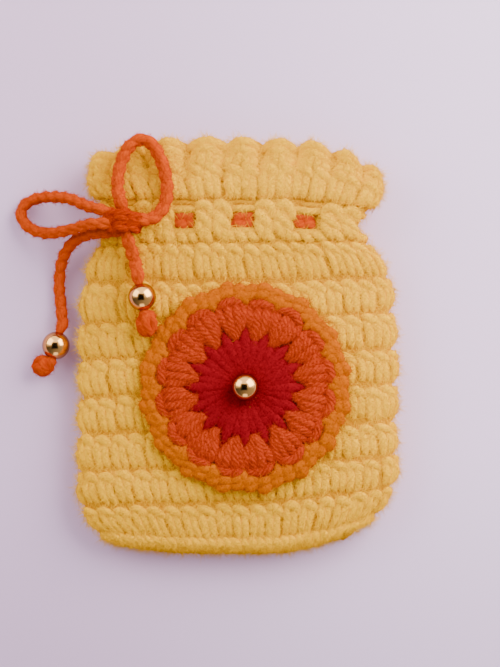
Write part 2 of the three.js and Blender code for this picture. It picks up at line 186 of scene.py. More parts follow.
def fabric_wall(name, outer, inner, solid=None, closed_base=False):
    """Plain fabric between two faces, all of it in painted shade. Where solid is false there is a window."""
    rows, count = outer.shape[:2]
    size = rows * count
    if solid is None:
        solid = np.ones((rows - 1, count), bool)
    faces = []

    def corner(face, j, i):
        return face * size + j * count + i % count

    def filled(j, i):
        return 0 <= j < rows - 1 and solid[j, i % count]

    for j in range(rows - 1):
        for i in range(count):
            if not filled(j, i):
                continue
            ring = [(j, i), (j, i + 1), (j + 1, i + 1), (j + 1, i)]
            faces.append([corner(0, *at) for at in ring])
            faces.append([corner(1, *at) for at in reversed(ring)])
            ends = [
                (filled(j - 1, i) or (closed_base and j == 0), ring[1], ring[0]),
                (filled(j + 1, i), ring[3], ring[2]),
                (filled(j, i - 1), ring[0], ring[3]),
                (filled(j, i + 1), ring[2], ring[1]),
            ]
            for covered, a, b in ends:
                if not covered:
                    faces.append([corner(0, *a), corner(0, *b), corner(1, *b), corner(1, *a)])
    if closed_base:
        for i in range(count // 2):
            strip = [i, (count - i) % count, count - i - 1, i + 1]
            strip = list(dict.fromkeys(strip))
            faces.append(strip)
            faces.append([size + at for at in reversed(strip)])
    points = np.vstack([outer.reshape(-1, 3), inner.reshape(-1, 3)])
    used = sorted({at for face in faces for at in face})
    place = {at: k for k, at in enumerate(used)}
    faces = [[place[at] for at in face] for face in faces]
    points = points[used]
    corners = [(points[at][0] * WALL_UV, points[at][1] * WALL_UV) for face in faces for at in face]
    tones = np.full(len(points), MIDDLE_TONE)
    # The plain fabric lies down between the stitches, so all of it takes the full painted shade
    shade = {"depth": ("FLOAT", np.ones(len(points))), "tone": ("FLOAT", tones)}
    return new_piece(name, plain_mesh(name, points, faces, corners, shade))


def yarn_strand(name, rows, placed, sides=8, steps=2, flat=1.0, plies=0):
    """A length of yarn along rows of x, y, z and radius, closed at both ends. placed takes a point in
    millimetres to where it goes. flat is its height over its width, plies the ridges that wind round it."""
    rows = smooth_rows(rows, steps)
    path, radius = rows[:, :3], rows[:, 3]
    tangents = np.gradient(path, axis=0)
    tangents /= np.linalg.norm(tangents, axis=1, keepdims=True)
    run = run_of(path)
    normal = np.cross(tangents[0], ASIDE)
    points, corners, faces = [], [], []
    for centre, tangent, thick, distance in zip(path, tangents, radius, run):
        normal = normal - tangent * normal.dot(tangent)
        normal /= np.linalg.norm(normal)
        binormal = np.cross(tangent, normal)
        for k in range(sides):
            angle = 2 * math.pi * k / sides
            ridge = PLY_RELIEF * math.cos(plies * (angle + 2 * math.pi * distance / PLY_TURN)) if plies else 0
            out = thick * (1 + ridge) * (math.cos(angle) * normal + math.sin(angle) * binormal)
            points.append(centre + out * (1, 1, flat))
    for j in range(len(path) - 1):
        for k in range(sides):
            m = (k + 1) % sides
            faces.append((j * sides + k, j * sides + m, (j + 1) * sides + m, (j + 1) * sides + k))
            left, right = k / sides, (k + 1) / sides
            low, high = run[j] / PLY_TURN, run[j + 1] / PLY_TURN
            corners += [(low, left), (low, right), (high, right), (high, left)]
    ends = [(0, -1, run[0]), (len(path) - 1, 1, run[-1])]
    for j, way, at in ends:
        tip = len(points)
        points.append(path[j] + tangents[j] * way * radius[j] * TIP)
        for k in range(sides):
            m = (k + 1) % sides
            a, b = (m, k) if way < 0 else (k, m)
            faces.append((j * sides + a, j * sides + b, tip))
            corners += [(at / PLY_TURN, c / sides) for c in (a, b, k + 0.5)]
    return plain_mesh(name, [placed(*p) for p in points], faces, corners)


def stitch_patterns(name, strands, placed, variants=3, wobble=0.22, seed=1, **shape):
    """A collection of the strands of one stitch, in a few versions. Each point of a strand is moved by up to
    wobble sideways, and half as far up or down."""
    draw = random.Random(seed)
    collection = bpy.data.collections.new(name)
    for version in range(variants):
        for k, rows in enumerate(strands):
            varied = []
            for x, y, z, radius in rows:
                shift = [draw.uniform(-wobble, wobble) for _ in range(3)]
                varied.append((x + shift[0], y + shift[1], z + shift[2] / 2, radius))
            part = f"{name}_{version}_{k:02d}"
            mesh = yarn_strand(part, varied, placed, **shape)
            collection.objects.link(bpy.data.objects.new(part, mesh))
    return {"Patterns": collection, "Strands": len(strands), "Variants": variants}


def feed(tree, socket, value):
    if isinstance(value, bpy.types.NodeSocket):
        tree.links.new(value, socket)
    else:
        socket.default_value = value


def add_node(tree, kind, inputs=None, **settings):
    node = tree.nodes.new(kind)
    for key, value in settings.items():
        setattr(node, key, value)
    for key, value in (inputs or {}).items():
        feed(tree, node.inputs[key], value)
    return node


def calc(tree, operation, *values):
    return add_node(tree, "ShaderNodeMath", dict(enumerate(values)), operation=operation).outputs[0]


def plus(tree, a, b):
    return calc(tree, "ADD", a, b)


def times(tree, a, b):
    return calc(tree, "MULTIPLY", a, b)


def vector(tree, x, y, z):
    return add_node(tree, "ShaderNodeCombineXYZ", {0: x, 1: y, 2: z}).outputs[0]


def vector_calc(tree, operation, *values):
    node = add_node(tree, "ShaderNodeVectorMath", dict(enumerate(values)), operation=operation)
    return node.outputs[0]


def parts(tree, value):
    return add_node(tree, "ShaderNodeSeparateXYZ", {0: value}).outputs


def mapped(tree, value, start, end, low=0.0, high=1.0, **settings):
    """From low to high as a value goes from start to end."""
    return add_node(tree, "ShaderNodeMapRange", {
        "Value": value,
        "From Min": start,
        "From Max": end,
        "To Min": low,
        "To Max": high,
    }, **settings).outputs[0]


def blend(tree, share, first, second):
    """A colour between two, each given as a socket or as red, green, blue and one."""
    node = add_node(tree, "ShaderNodeMix", {"Factor": share, 6: first, 7: second}, data_type="RGBA")
    return node.outputs[2]


def scaled(tree, value, factor):
    node = add_node(tree, "ShaderNodeVectorMath", {0: value, "Scale": factor}, operation="SCALE")
    return node.outputs[0]


def chance(tree, spread, ident, seed, step):
    """A random number from -spread to spread for each ident."""
    node = add_node(tree, "FunctionNodeRandomValue", data_type="FLOAT")
    feed(tree, node.inputs[2], times(tree, spread, -1.0))
    feed(tree, node.inputs[3], spread)
    feed(tree, node.inputs["ID"], ident)
    feed(tree, node.inputs["Seed"], plus(tree, seed, step))
    return node.outputs[1]


def new_tree(name, inputs):
    tree = bpy.data.node_groups.new(name, "GeometryNodeTree")
    sockets = [("Geometry", "Geometry"), *inputs]
    for key, kind in sockets:
        tree.interface.new_socket(key, in_out="INPUT", socket_type="NodeSocket" + kind)
    tree.interface.new_socket("Geometry", in_out="OUTPUT", socket_type="NodeSocketGeometry")
    return tree, tree.nodes.new("NodeGroupInput").outputs


def pick_strands(tree, given, points, pick, size):
    """Puts a strand on each point, with a tone of its own, and makes plain geometry of them."""
    patterns = add_node(tree, "GeometryNodeCollectionInfo", {
        "Collection": given["Patterns"],
        "Separate Children": True,
        "Reset Children": True,
    })
    strands = add_node(tree, "GeometryNodeInstanceOnPoints", {
        "Points": points,
        "Instance": patterns.outputs[0],
        "Pick Instance": True,
        "Instance Index": pick,
        "Scale": size,
    })
    index = add_node(tree, "GeometryNodeInputIndex").outputs[0]
    toned = add_node(tree, "GeometryNodeStoreNamedAttribute", {
        "Geometry": strands.outputs[0],
        "Name": "tone",
        "Value": plus(tree, chance(tree, 0.5, index, given["Seed"], 7), 0.5),
    }, domain="INSTANCE")
    return add_node(tree, "GeometryNodeRealizeInstances", {"Geometry": toned.outputs[0]}).outputs[0]


def finish_tree(tree, given, geometry, position):
    """Moves the strands to their place, none lower than the surface that the pouch lies on, shades them
    smooth and gives them their yarn."""
    at = parts(tree, position)
    above = vector(tree, at[0], at[1], calc(tree, "MAXIMUM", at[2], LOWEST * MM))
    placed = add_node(tree, "GeometryNodeSetPosition", {"Geometry": geometry, "Position": above})
    smooth = add_node(tree, "GeometryNodeSetShadeSmooth", {"Geometry": placed.outputs[0]})
    dyed = add_node(tree, "GeometryNodeSetMaterial", {
        "Geometry": smooth.outputs[0],
        "Material": given["Yarn"],
    })
    output = tree.nodes.new("NodeGroupOutput")
    tree.links.new(dyed.outputs[0], output.inputs[0])


# How far the stitches of a fully uneven round differ
SWAY = 0.07  # sideways, in stitch widths
RISE = 0.035  # up and down, in rounds
PROUD = 0.2  # outwards
SWELL = 0.05  # in width
FULL_SHADE_DEPTH = 2.6  # how deep the yarn of a stitch lies where it has its deepest colour
FORM_EDGE = 0.0005  # how far inside its ends a form is read, as a part of its height


def crochet_tree():
    """Works rounds of stitches flat, side by side, then lays them on the form that it is given."""
    tree, given = new_tree("crochet rounds", [
        ("Stitches", "Int"),
        ("Rounds", "Int"),
        ("First round", "Float"),
        ("Round height", "Float"),
        ("Shift", "Float"),
        ("Stagger", "Float"),
        ("Unevenness", "Float"),
        ("Lift", "Float"),
        ("Side", "Float"),
        ("Seed", "Int"),
        ("Patterns", "Collection"),
        ("Strands", "Int"),
        ("Variants", "Int"),
        ("Yarn", "Material"),
    ])
    seed, uneven, side = given["Seed"], given["Unevenness"], given["Side"]
    index = add_node(tree, "GeometryNodeInputIndex").outputs[0]
    cells = times(tree, given["Stitches"], given["Rounds"])
    cell = calc(tree, "FLOOR", calc(tree, "DIVIDE", index, given["Strands"]))
    strand = calc(tree, "FLOORED_MODULO", index, given["Strands"])
    column = calc(tree, "FLOORED_MODULO", cell, given["Stitches"])
    row = calc(tree, "FLOOR", calc(tree, "DIVIDE", cell, given["Stitches"]))
    stagger = chance(tree, given["Stagger"], row, seed, 1)
    sway = times(tree, chance(tree, SWAY, cell, seed, 2), uneven)
    facing = times(tree, calc(tree, "SUBTRACT", 1.0, side), 0.5)
    across = plus(tree, plus(tree, column, given["Shift"]), facing)
    across = plus(tree, plus(tree, across, stagger), sway)
    rise = times(tree, chance(tree, RISE, cell, seed, 3), uneven)
    rise = times(tree, plus(tree, row, rise), given["Round height"])
    proud = times(tree, chance(tree, PROUD * MM, cell, seed, 4), uneven)
    corner = vector(
        tree,
        calc(tree, "DIVIDE", across, given["Stitches"]),
        plus(tree, given["First round"], rise),
        plus(tree, given["Lift"], proud),
    )
    points = add_node(tree, "GeometryNodePoints", {
        "Count": times(tree, cells, given["Strands"]),
        "Position": corner,
    })
    half = times(tree, given["Variants"], 0.5)
    version = calc(tree, "FLOOR", plus(tree, chance(tree, half, cell, seed, 5), half))
    pick = plus(tree, times(tree, version, given["Strands"]), strand)
    swell = plus(tree, times(tree, chance(tree, SWELL, cell, seed, 6), uneven), 1.0)
    width = calc(tree, "DIVIDE", times(tree, side, swell), given["Stitches"])
    size = vector(tree, width, given["Round height"], side)
    flat = pick_strands(tree, given, points.outputs[0], pick, size)
    place = parts(tree, add_node(tree, "GeometryNodeInputPosition").outputs[0])
    # Painted shade: how deep each strand lies below the stitches' outer face, for the yarn's darker colour
    below = calc(tree, "ABSOLUTE", calc(tree, "SUBTRACT", place[2], given["Lift"]))
    shaded = add_node(tree, "GeometryNodeStoreNamedAttribute", {
        "Geometry": flat,
        "Name": "depth",
        "Value": times(tree, below, 1 / (FULL_SHADE_DEPTH * MM)),
    })
    height = add_node(tree, "ShaderNodeClamp", {0: place[1], 1: FORM_EDGE, 2: 1 - FORM_EDGE}).outputs[0]
    on_form = vector(tree, calc(tree, "FRACT", place[0]), height, 0.0)
    form_map = add_node(tree, "GeometryNodeInputNamedAttribute", data_type="FLOAT_VECTOR")
    form_map.inputs["Name"].default_value = "yarn_uv"
    outward = add_node(tree, "GeometryNodeInputNamedAttribute", data_type="FLOAT_VECTOR")
    outward.inputs["Name"].default_value = "outward"
    found = []
    for field in (add_node(tree, "GeometryNodeInputPosition").outputs[0], outward.outputs[0]):
        found.append(add_node(tree, "GeometryNodeSampleUVSurface", {
            "Mesh": given["Geometry"],
            "Value": field,
            "UV Map": form_map.outputs[0],
            "Sample UV": on_form,
        }, data_type="FLOAT_VECTOR").outputs[0])
    position = vector_calc(tree, "ADD", found[0], scaled(tree, found[1], place[2]))
    finish_tree(tree, given, shaded.outputs[0], position)
    return tree


def worked(tree, name, start, values):
    """The plain mesh that a tree makes of a starting object."""
    modifier = start.modifiers.new(tree.name, "NODES")
    modifier.node_group = tree
    for item in tree.interface.items_tree:
        if item.in_out == "INPUT" and item.name in values:
            modifier[item.identifier] = values[item.name]
    graph = bpy.context.evaluated_depsgraph_get()
    mesh = bpy.data.meshes.new_from_object(start.evaluated_get(graph))
    start.modifiers.remove(modifier)
    mesh.name = name
    return new_piece(name, mesh)


def work_rounds(
    name, form, patterns, stitches, first, height, seed, yarn,
    rounds=1, shift=0.0, stagger=0.0, uneven=1.0, lift=0.0, side=1.0,
):
    """Rounds of stitches on a form. first and height say where they lie on it, as parts of its height."""
    return worked(CROCHET, name, form, {
        "Stitches": stitches,
        "Rounds": rounds,
        "First round": first,
        "Round height": height,
        "Shift": shift,
        "Stagger": stagger,
        "Unevenness": uneven,
        "Lift": lift,
        "Side": side,
        "Seed": seed,
        "Yarn": yarn,
        **patterns,
    })


def joined(name, pieces, material):
    """One piece of several, all in the same yarn."""
    first = pieces[0]
    with bpy.context.temp_override(
        active_object=first,
        object=first,
        selected_editable_objects=pieces,
        selected_objects=pieces,
    ):
        bpy.ops.object.join()
    first.name = name
    first.data.name = name
    first.data.materials.clear()
    first.data.materials.append(material)
    first.data.polygons.foreach_set("material_index", [0] * len(first.data.polygons))
    return first


PLIES = 6
PATCHES = 160.0  # scale of the patches in the dye
FLUFF = 1400.0  # scale of the fluff
FIBRE_GRAIN = (4.0, 34.0)  # scale of the fine fibres along the yarn and round it
PLY_WAVER = 0.25
PLY_HEIGHT = 0.3  # beside the fine fibres and the fluff, whose height is one
FLUFF_HEIGHT = 0.6
# Painted shade: yarn that lies deeper takes more of the darker colour
SHADE_BY_DEPTH = (0.25, 0.6, 0.0, 0.85)  # depths between which the yarn darkens, and the deep colour's share there
# What each adds to the share of the darker colour, next to the painted shade between plies and the fibres
MOTTLE = 0.35
TONE_SPREAD = 0.16
# The level of each below which it adds to that share
PLY_LEVEL = 0.4
FIBRE_LEVEL = 0.55
PATCH_LEVEL = 0.5


def noise(tree, place, scale, detail):
    node = add_node(tree, "ShaderNodeTexNoise", {"Vector": place, "Scale": scale, "Detail": detail})
    return node.outputs[0]


def yarn_material(name, light, deep, ply_shade=0.1, fibre=0.5, relief=0.7, sheen=0.12):
    """Twisted wool-like yarn: slanting plies, fine fibres, and painted shade in a darker colour down between
    the strands and in the grooves between the plies.
    """
    def below(level, value, part):
        return times(tree, calc(tree, "SUBTRACT", level, value), part)

    material = bpy.data.materials.new(name)
    material.use_nodes = True
    tree = material.node_tree
    shader = tree.nodes["Principled BSDF"]
    place = add_node(tree, "ShaderNodeTexCoord").outputs["Object"]
    along = parts(tree, add_node(tree, "ShaderNodeUVMap", uv_map="yarn_uv").outputs[0])
    cloud = noise(tree, place, PATCHES, 3.0)
    lay = plus(tree, plus(tree, along[0], along[1]), times(tree, cloud, PLY_WAVER))
    ply = calc(tree, "SINE", times(tree, lay, PLIES * 2 * math.pi))
    grain = vector(tree, times(tree, along[0], FIBRE_GRAIN[0]), times(tree, lay, FIBRE_GRAIN[1]), 0.0)
    fine = noise(tree, grain, 1.0, 3.0)
    tone = add_node(tree, "ShaderNodeAttribute", attribute_name="tone").outputs["Fac"]
    depth = add_node(tree, "ShaderNodeAttribute", attribute_name="depth").outputs["Fac"]
    # Painted shade: deep yarn, and yarn in the grooves between plies, takes the darker colour
    down = mapped(tree, depth, *SHADE_BY_DEPTH)
    share = plus(tree, down, below(PLY_LEVEL, ply, ply_shade))
    speckle = plus(tree, below(FIBRE_LEVEL, fine, fibre), below(PATCH_LEVEL, cloud, MOTTLE))
    share = plus(tree, share, speckle)
    share = plus(tree, share, below(MIDDLE_TONE, tone, TONE_SPREAD))
    share = add_node(tree, "ShaderNodeMath", {0: share, 1: 0.0}, use_clamp=True)
    colour = blend(tree, share.outputs[0], (*light, 1), (*deep, 1))
    tree.links.new(colour, shader.inputs["Base Color"])
    fluff = noise(tree, place, FLUFF, 2.0)
    bump = add_node(tree, "ShaderNodeBump", {
        "Height": plus(tree, times(tree, ply, PLY_HEIGHT), plus(tree, fine, fluff)),
        "Strength": relief,
        "Distance": FLUFF_HEIGHT * MM,
    })
    tree.links.new(bump.outputs[0], shader.inputs["Normal"])
    shader.inputs["Roughness"].default_value = 0.95
    shader.inputs["Specular IOR Level"].default_value = 0.0
    shader.inputs["Sheen Weight"].default_value = sheen
    shader.inputs["Sheen Roughness"].default_value = 0.5
    shader.inputs["Sheen Tint"].default_value = (*light, 1)
    return material


FIBRE_RADIUS = 0.09
FIBRE_ROOT = 0.05  # how far it starts down in the yarn, as a part of its length
FUZZ_DEPTH = 0.42  # fibres stand only on yarn that lies less deep than this share of the deep colour
FIBRE_LIFT = (0.35, 0.25)  # how far a fibre leans away from its yarn, and how much that varies
LENGTH_SPREAD = 0.4
FUZZ_BELOW = 0.06  # share of the fibres that stand on yarn that faces the surface under the pouch
FIBRE_DEPTH = 0.2  # its own share of the deep colour
FIBRES_AFTER = 50  # from the seed of a cord to that of its fibres


def fuzz_tree():
    """Loose fibres that stand out of the yarn, more along it than away from it."""
    tree, given = new_tree("yarn fuzz", [
        ("Fibres per area", "Float"),
        ("Length", "Float"),
        ("Seed", "Int"),
        ("Fibre", "Object"),
        ("Yarn", "Material"),
    ])
    seed = given["Seed"]
    depth = add_node(tree, "GeometryNodeInputNamedAttribute", data_type="FLOAT")
    depth.inputs["Name"].default_value = "depth"
    outside = calc(tree, "LESS_THAN", depth.outputs[0], FUZZ_DEPTH)
    facing = parts(tree, add_node(tree, "GeometryNodeInputNormal").outputs[0])[2]
    shown = mapped(tree, facing, -0.3, 0.2, FUZZ_BELOW, 1.0)
    roots = add_node(tree, "GeometryNodeDistributePointsOnFaces", {
        "Mesh": given["Geometry"],
        "Density": times(tree, times(tree, outside, shown), given["Fibres per area"]),
        "Seed": seed,
    }, distribute_method="RANDOM")
    index = add_node(tree, "GeometryNodeInputIndex").outputs[0]
    loose = vector(tree, *[chance(tree, 1.0, index, seed, step) for step in (11, 12, 13)])
    normal = roots.outputs["Normal"]
    lift = plus(tree, chance(tree, FIBRE_LIFT[1], index, seed, 14), FIBRE_LIFT[0])
    outward = add_node(tree, "ShaderNodeVectorMath", {0: loose, 1: normal}, operation="DOT_PRODUCT")
    flat = vector_calc(tree, "SUBTRACT", loose, scaled(tree, normal, outward.outputs["Value"]))
    way = vector_calc(tree, "ADD", vector_calc(tree, "NORMALIZE", flat), scaled(tree, normal, lift))
    turn = add_node(tree, "FunctionNodeAlignRotationToVector", {"Vector": way}, axis="Z").outputs[0]
    spread = plus(tree, chance(tree, LENGTH_SPREAD, index, seed, 15), 1.0)
    long = times(tree, given["Length"], spread)
    fibre = add_node(tree, "GeometryNodeObjectInfo", {"Object": given["Fibre"]}).outputs["Geometry"]
    fibres = add_node(tree, "GeometryNodeInstanceOnPoints", {
        "Points": roots.outputs["Points"],
        "Instance": fibre,
        "Rotation": turn,
        "Scale": vector(tree, 1.0, 1.0, long),
    }).outputs[0]
    pale = add_node(tree, "GeometryNodeStoreNamedAttribute", {
        "Geometry": fibres,
        "Name": "depth",
        "Value": FIBRE_DEPTH,
    }, domain="INSTANCE").outputs[0]
    plain = add_node(tree, "GeometryNodeRealizeInstances", {"Geometry": pale}).outputs[0]
    finish_tree(tree, given, plain, add_node(tree, "GeometryNodeInputPosition").outputs[0])
    return tree


FUZZ = fuzz_tree()
fibre_points = [(0, 0, 1)]
for k in range(3):
    angle = 2 * math.pi * k / 3
    x, y = FIBRE_RADIUS * MM * math.cos(angle), FIBRE_RADIUS * MM * math.sin(angle)
    fibre_points.append((x, y, -FIBRE_ROOT))
fibre_faces = [(0, 1, 2), (0, 2, 3), (0, 3, 1), (1, 3, 2)]
fibre_corners = [(0, 0) for face in fibre_faces for _ in face]
FIBRE = bpy.data.objects.new("fibre", plain_mesh("fibre", fibre_points, fibre_faces, fibre_corners))


def fuzz_of(piece, name, yarn, count, length, seed):
    """Loose fibres on a finished piece, count of them if its yarn were bare all over. They are too fine to
    cast a shade of their own."""
    area = sum(face.area for face in piece.data.polygons)
    fuzz = worked(FUZZ, name, piece, {
        "Fibres per area": count / area,
        "Length": length * MM,
        "Seed": seed,
        "Fibre": FIBRE,
        "Yarn": yarn,
    })
    fuzz.visible_shadow = False
    fuzz.visible_diffuse = False
    return fuzz


def fix(piece, slot, *nodes):
    """Fixes a piece to the pouch in place of the nodes named. slot, its kind of material, is not used."""
    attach(piece, "root")
    if nodes:
        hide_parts(*nodes)


# Each yarn has a pale colour, and a darker one for its darker fibres and for painted shade
PALE_YARN = yarn_material(
    "pale yellow yarn", (0.87, 0.446, 0.005), (0.46, 0.178, 0.0), ply_shade=0.10, fibre=0.22, relief=0.15,
)
CROCHET = crochet_tree()
body_rows = smooth_rows(BODY_LINES, LINE_STEPS)
pinch = SIDE_PINCH * np.cos(2 * np.pi * body_rows[:, 0]) / 2
body_rows[:, 1] += np.where(body_rows[:, 0] < 0, 0, pinch)
body_rows[:, 4] -= np.where(body_rows[:, 0] < 0, 0, pinch)
form_rows = run_on(body_rows, *BODY_EXTRA)
form_rows[:, 6] = np.maximum(form_rows[:, 6], THINNEST)
body_heights = (form_rows[:, 0] + BODY_START) / BODY_SPAN
body_form = surface_form("body_form", pouch_loops(form_rows[:, 1:]), body_heights)
wall_rows = body_rows[LINE_STEPS:, 1:]  # from the second line up
body_wall = fabric_wall(
    "body_wall",
    pouch_loops(wall_rows, WALL_FACE),
    pouch_loops(wall_rows, WALL_BACK),
    closed_base=True,
)


def in_cell(width, height):
    """Takes a point of a stitch in millimetres to its place in a cell of one by one."""
    def placed(x, y, z):
        return x / width, y / height, z * MM

    return placed


# The strands of one stitch, as rows of x, y and z from its lower left corner, and radius
TALL_STITCH = [
    [  # hood, down to the right over the legs
        (0.0, 8.9, -1.8, 0.8),
        (1.1, 9.15, -1.05, 1.15),
        (2.4, 8.85, -0.85, 1.3),
        (3.7, 8.05, -0.95, 1.25),
        (4.7, 7.1, -1.3, 1.0),
        (5.1, 6.2, -1.9, 0.7),
    ],
    [  # left leg
        (1.0, 8.6, -1.6, 0.85),
        (1.25, 6.8, -1.05, 1.2),
        (1.45, 4.7, -0.9, 1.28),
        (1.75, 2.4, -1.05, 1.22),
        (2.2, 0.3, -1.95, 0.8),
    ],
    [  # right leg
        (3.0, 7.6, -1.5, 0.9),
        (3.35, 5.9, -1.1, 1.2),
        (3.65, 3.9, -1.0, 1.28),
        (4.0, 1.9, -1.15, 1.2),
        (4.5, 0.2, -2.0, 0.78),
    ],
]
STITCH_FLAT = 0.72  # height of a strand over its width
body_stitches = work_rounds(
    "body_stitches",
    body_form,
    stitch_patterns("tall_stitch", TALL_STITCH, in_cell(*STITCH), seed=2, flat=STITCH_FLAT),
    stitches=BODY_STITCHES,
    first=BODY_START / BODY_SPAN,
    height=1 / BODY_SPAN,
    seed=3,
    yarn=PALE_YARN,
    rounds=BODY_ROUNDS,
    stagger=0.5,
)
BASE_STITCHES = 36
BASE_CHAIN_HEIGHT = 0.46  # of a round
BASE_CHAIN_CELL = (STITCH[0], STITCH[1] * BASE_CHAIN_HEIGHT)
BASE_CHAIN = [
    [
        (-0.8, 4.4, -1.7, 0.9),
        (0.5, 3.3, -0.85, 1.35),
        (2.1, 1.8, -0.75, 1.4),
        (3.6, 0.5, -1.4, 0.95),
    ],
    [
        (1.7, 4.3, -1.7, 0.9),
        (3.0, 3.2, -0.9, 1.35),
        (4.6, 1.8, -0.8, 1.4),
        (6.1, 0.5, -1.4, 0.95),
    ],
]
base_chain = work_rounds(
    "base_chain",
    body_form,
    stitch_patterns("base_chain", BASE_CHAIN, in_cell(*BASE_CHAIN_CELL), seed=4, flat=STITCH_FLAT),
    stitches=BASE_STITCHES,
    first=(BODY_START + BODY_LINES[0][0]) / BODY_SPAN,
    height=BASE_CHAIN_HEIGHT / BODY_SPAN,
    seed=11,
    yarn=PALE_YARN,
    stagger=0.5,
    uneven=0.6,
)
LINK = 3.5  # length of one chain stitch
LINK_SWAY = 0.12
SHADE_FREE_REACH = 1.7  # distance from a chain's middle at which its yarn has its lightest colour
PATH_STEP = 0.8
ROUTE_STEPS = 24  # steps from one point of a route to the next, before they are made even


def chain_tree():
    """Lays links of chain in a straight row, then bends the row along the path that it is given."""
    tree, given = new_tree("chain cord", [
        ("Link length", "Float"),
        ("Width", "Float"),
        ("Thickness", "Float"),
        ("Lean", "Float"),
        ("Twist", "Float"),
        ("Unevenness", "Float"),
        ("Seed", "Int"),
        ("Patterns", "Collection"),
        ("Strands", "Int"),
        ("Variants", "Int"),
        ("Yarn", "Material"),
    ])
    seed, uneven = given["Seed"], given["Unevenness"]
    line = add_node(tree, "GeometryNodeMeshToCurve", {0: given["Geometry"]}).outputs[0]
    line = add_node(tree, "GeometryNodeSetCurveNormal", {0: line}, mode="Z_UP").outputs[0]
    length = add_node(tree, "GeometryNodeCurveLength", {0: line}).outputs[0]
    links = calc(tree, "ROUND", calc(tree, "DIVIDE", length, given["Link length"]))
    pitch = calc(tree, "DIVIDE", length, links)
    index = add_node(tree, "GeometryNodeInputIndex").outputs[0]
    link = calc(tree, "FLOOR", calc(tree, "DIVIDE", index, given["Strands"]))
    strand = calc(tree, "FLOORED_MODULO", index, given["Strands"])
    sway = times(tree, chance(tree, LINK_SWAY * MM, link, seed, 1), uneven)
    start = vector(tree, sway, times(tree, link, pitch), 0.0)
    points = add_node(tree, "GeometryNodePoints", {
        "Count": times(tree, links, given["Strands"]),
        "Position": start,
    })
    half = times(tree, given["Variants"], 0.5)
    version = calc(tree, "FLOOR", plus(tree, chance(tree, half, link, seed, 2), half))
    pick = plus(tree, times(tree, version, given["Strands"]), strand)
    size = vector(tree, given["Width"], pitch, given["Thickness"])
    straight = pick_strands(tree, given, points.outputs[0], pick, size)
    place = parts(tree, add_node(tree, "GeometryNodeInputPosition").outputs[0])
    within = add_node(tree, "ShaderNodeClamp", {0: place[1], 1: 0.0, 2: length}).outputs[0]
    beyond = calc(tree, "SUBTRACT", place[1], within)
    found = add_node(tree, "GeometryNodeSampleCurve", {
        "Curves": line, "Length": within,
    }, mode="LENGTH").outputs
    turn = plus(tree, times(tree, place[1], given["Twist"]), given["Lean"])
    cosine, sine = calc(tree, "COSINE", turn), calc(tree, "SINE", turn)
    side = calc(tree, "SUBTRACT", times(tree, place[0], cosine), times(tree, place[2], sine))
    rise = plus(tree, times(tree, place[0], sine), times(tree, place[2], cosine))
    up = vector_calc(tree, "CROSS_PRODUCT", found["Normal"], found["Tangent"])
    position = vector_calc(tree, "ADD", found["Position"], scaled(tree, found["Tangent"], beyond))
    position = vector_calc(tree, "ADD", position, scaled(tree, found["Normal"], side))
    position = vector_calc(tree, "ADD", position, scaled(tree, up, rise))
    # Painted shade: yarn nearer the middle line of the chain gets more of the darker colour
    squares = [calc(tree, "POWER", place[k], 2.0) for k in (0, 2)]
    out = calc(tree, "SQRT", plus(tree, *squares))
    shaded = add_node(tree, "GeometryNodeStoreNamedAttribute", {
        "Geometry": straight,
        "Name": "depth",
        "Value": calc(tree, "SUBTRACT", 1.0, times(tree, out, 1 / (SHADE_FREE_REACH * MM))),
    })
    finish_tree(tree, given, shaded.outputs[0], position)
    return tree


def in_link(x, y, z):
    return x * MM, y / LINK, z * MM


LEG = [
    (0.1, -1.2, -0.3, 0.9),
    (0.4, 0.1, 0.45, 1.05),
    (0.75, 1.5, 0.55, 1.1),
    (0.75, 2.8, 0.1, 1.05),
    (0.4, 4.3, -0.45, 0.9),
]
CHAIN_LINK = [
    LEG,
    [(-x, y, z, radius) for x, y, z, radius in LEG],
    [
        (0.0, -0.4, -0.4, 0.9),
        (0.2, 1.1, -0.85, 1.15),
        (-0.2, 2.4, -0.85, 1.15),
        (0.0, 3.9, -0.4, 0.9),
    ],
]
LINK_SHAPE = {"sides": 12, "steps": 3, "plies": 4}
CHAIN = chain_tree()
LINKS = stitch_patterns("chain_link", CHAIN_LINK, in_link, wobble=0.14, seed=12, **LINK_SHAPE)


def cord_path(route):
    """Even points along a smooth line through the route's points, in millimetres."""
    knots = [np.array(p, float) for p in route]
    knots = [2 * knots[0] - knots[1], *knots, 2 * knots[-1] - knots[-2]]
    fine = []
    for a, b, c, d in zip(knots, knots[1:], knots[2:], knots[3:]):
        t0 = 0.0
        t1 = t0 + math.sqrt(np.linalg.norm(b - a))
        t2 = t1 + math.sqrt(np.linalg.norm(c - b))
        t3 = t2 + math.sqrt(np.linalg.norm(d - c))
        for t in np.linspace(t1, t2, ROUTE_STEPS, endpoint=False):
            ab = a + (b - a) * (t - t0) / (t1 - t0)
            bc = b + (c - b) * (t - t1) / (t2 - t1)
            cd = c + (d - c) * (t - t2) / (t3 - t2)
            abc = ab + (bc - ab) * (t - t0) / (t2 - t0)
            bcd = bc + (cd - bc) * (t - t1) / (t3 - t1)
            fine.append(abc + (bcd - abc) * (t - t1) / (t2 - t1))
    fine.append(knots[-2])
    fine = np.array(fine)
    length = run_of(fine)[-1]
    places = np.linspace(0, length, max(3, round(length / PATH_STEP) + 1))
    return points_at(places, fine)


def chain_cord(name, path, yarn, seed, width=1.0, thickness=1.0, lean=0.0, twist=0.0):
    """A chain along a path in millimetres, turned about its line by lean, and by twist more on each metre."""
    line = bpy.data.meshes.new(name + "_path")
    edges = [(k, k + 1) for k in range(len(path) - 1)]
    line.from_pydata([tuple(p * MM) for p in path], edges, [])
    start = new_piece(name + "_path", line)
    cord = worked(CHAIN, name, start, {
        "Link length": LINK * MM,
        "Width": width,
        "Thickness": thickness,
        "Lean": lean,
        "Twist": twist,
        "Unevenness": 1.0,
        "Seed": seed,
        "Yarn": yarn,
        **LINKS,
    })
    bpy.data.objects.remove(start)
    return cord


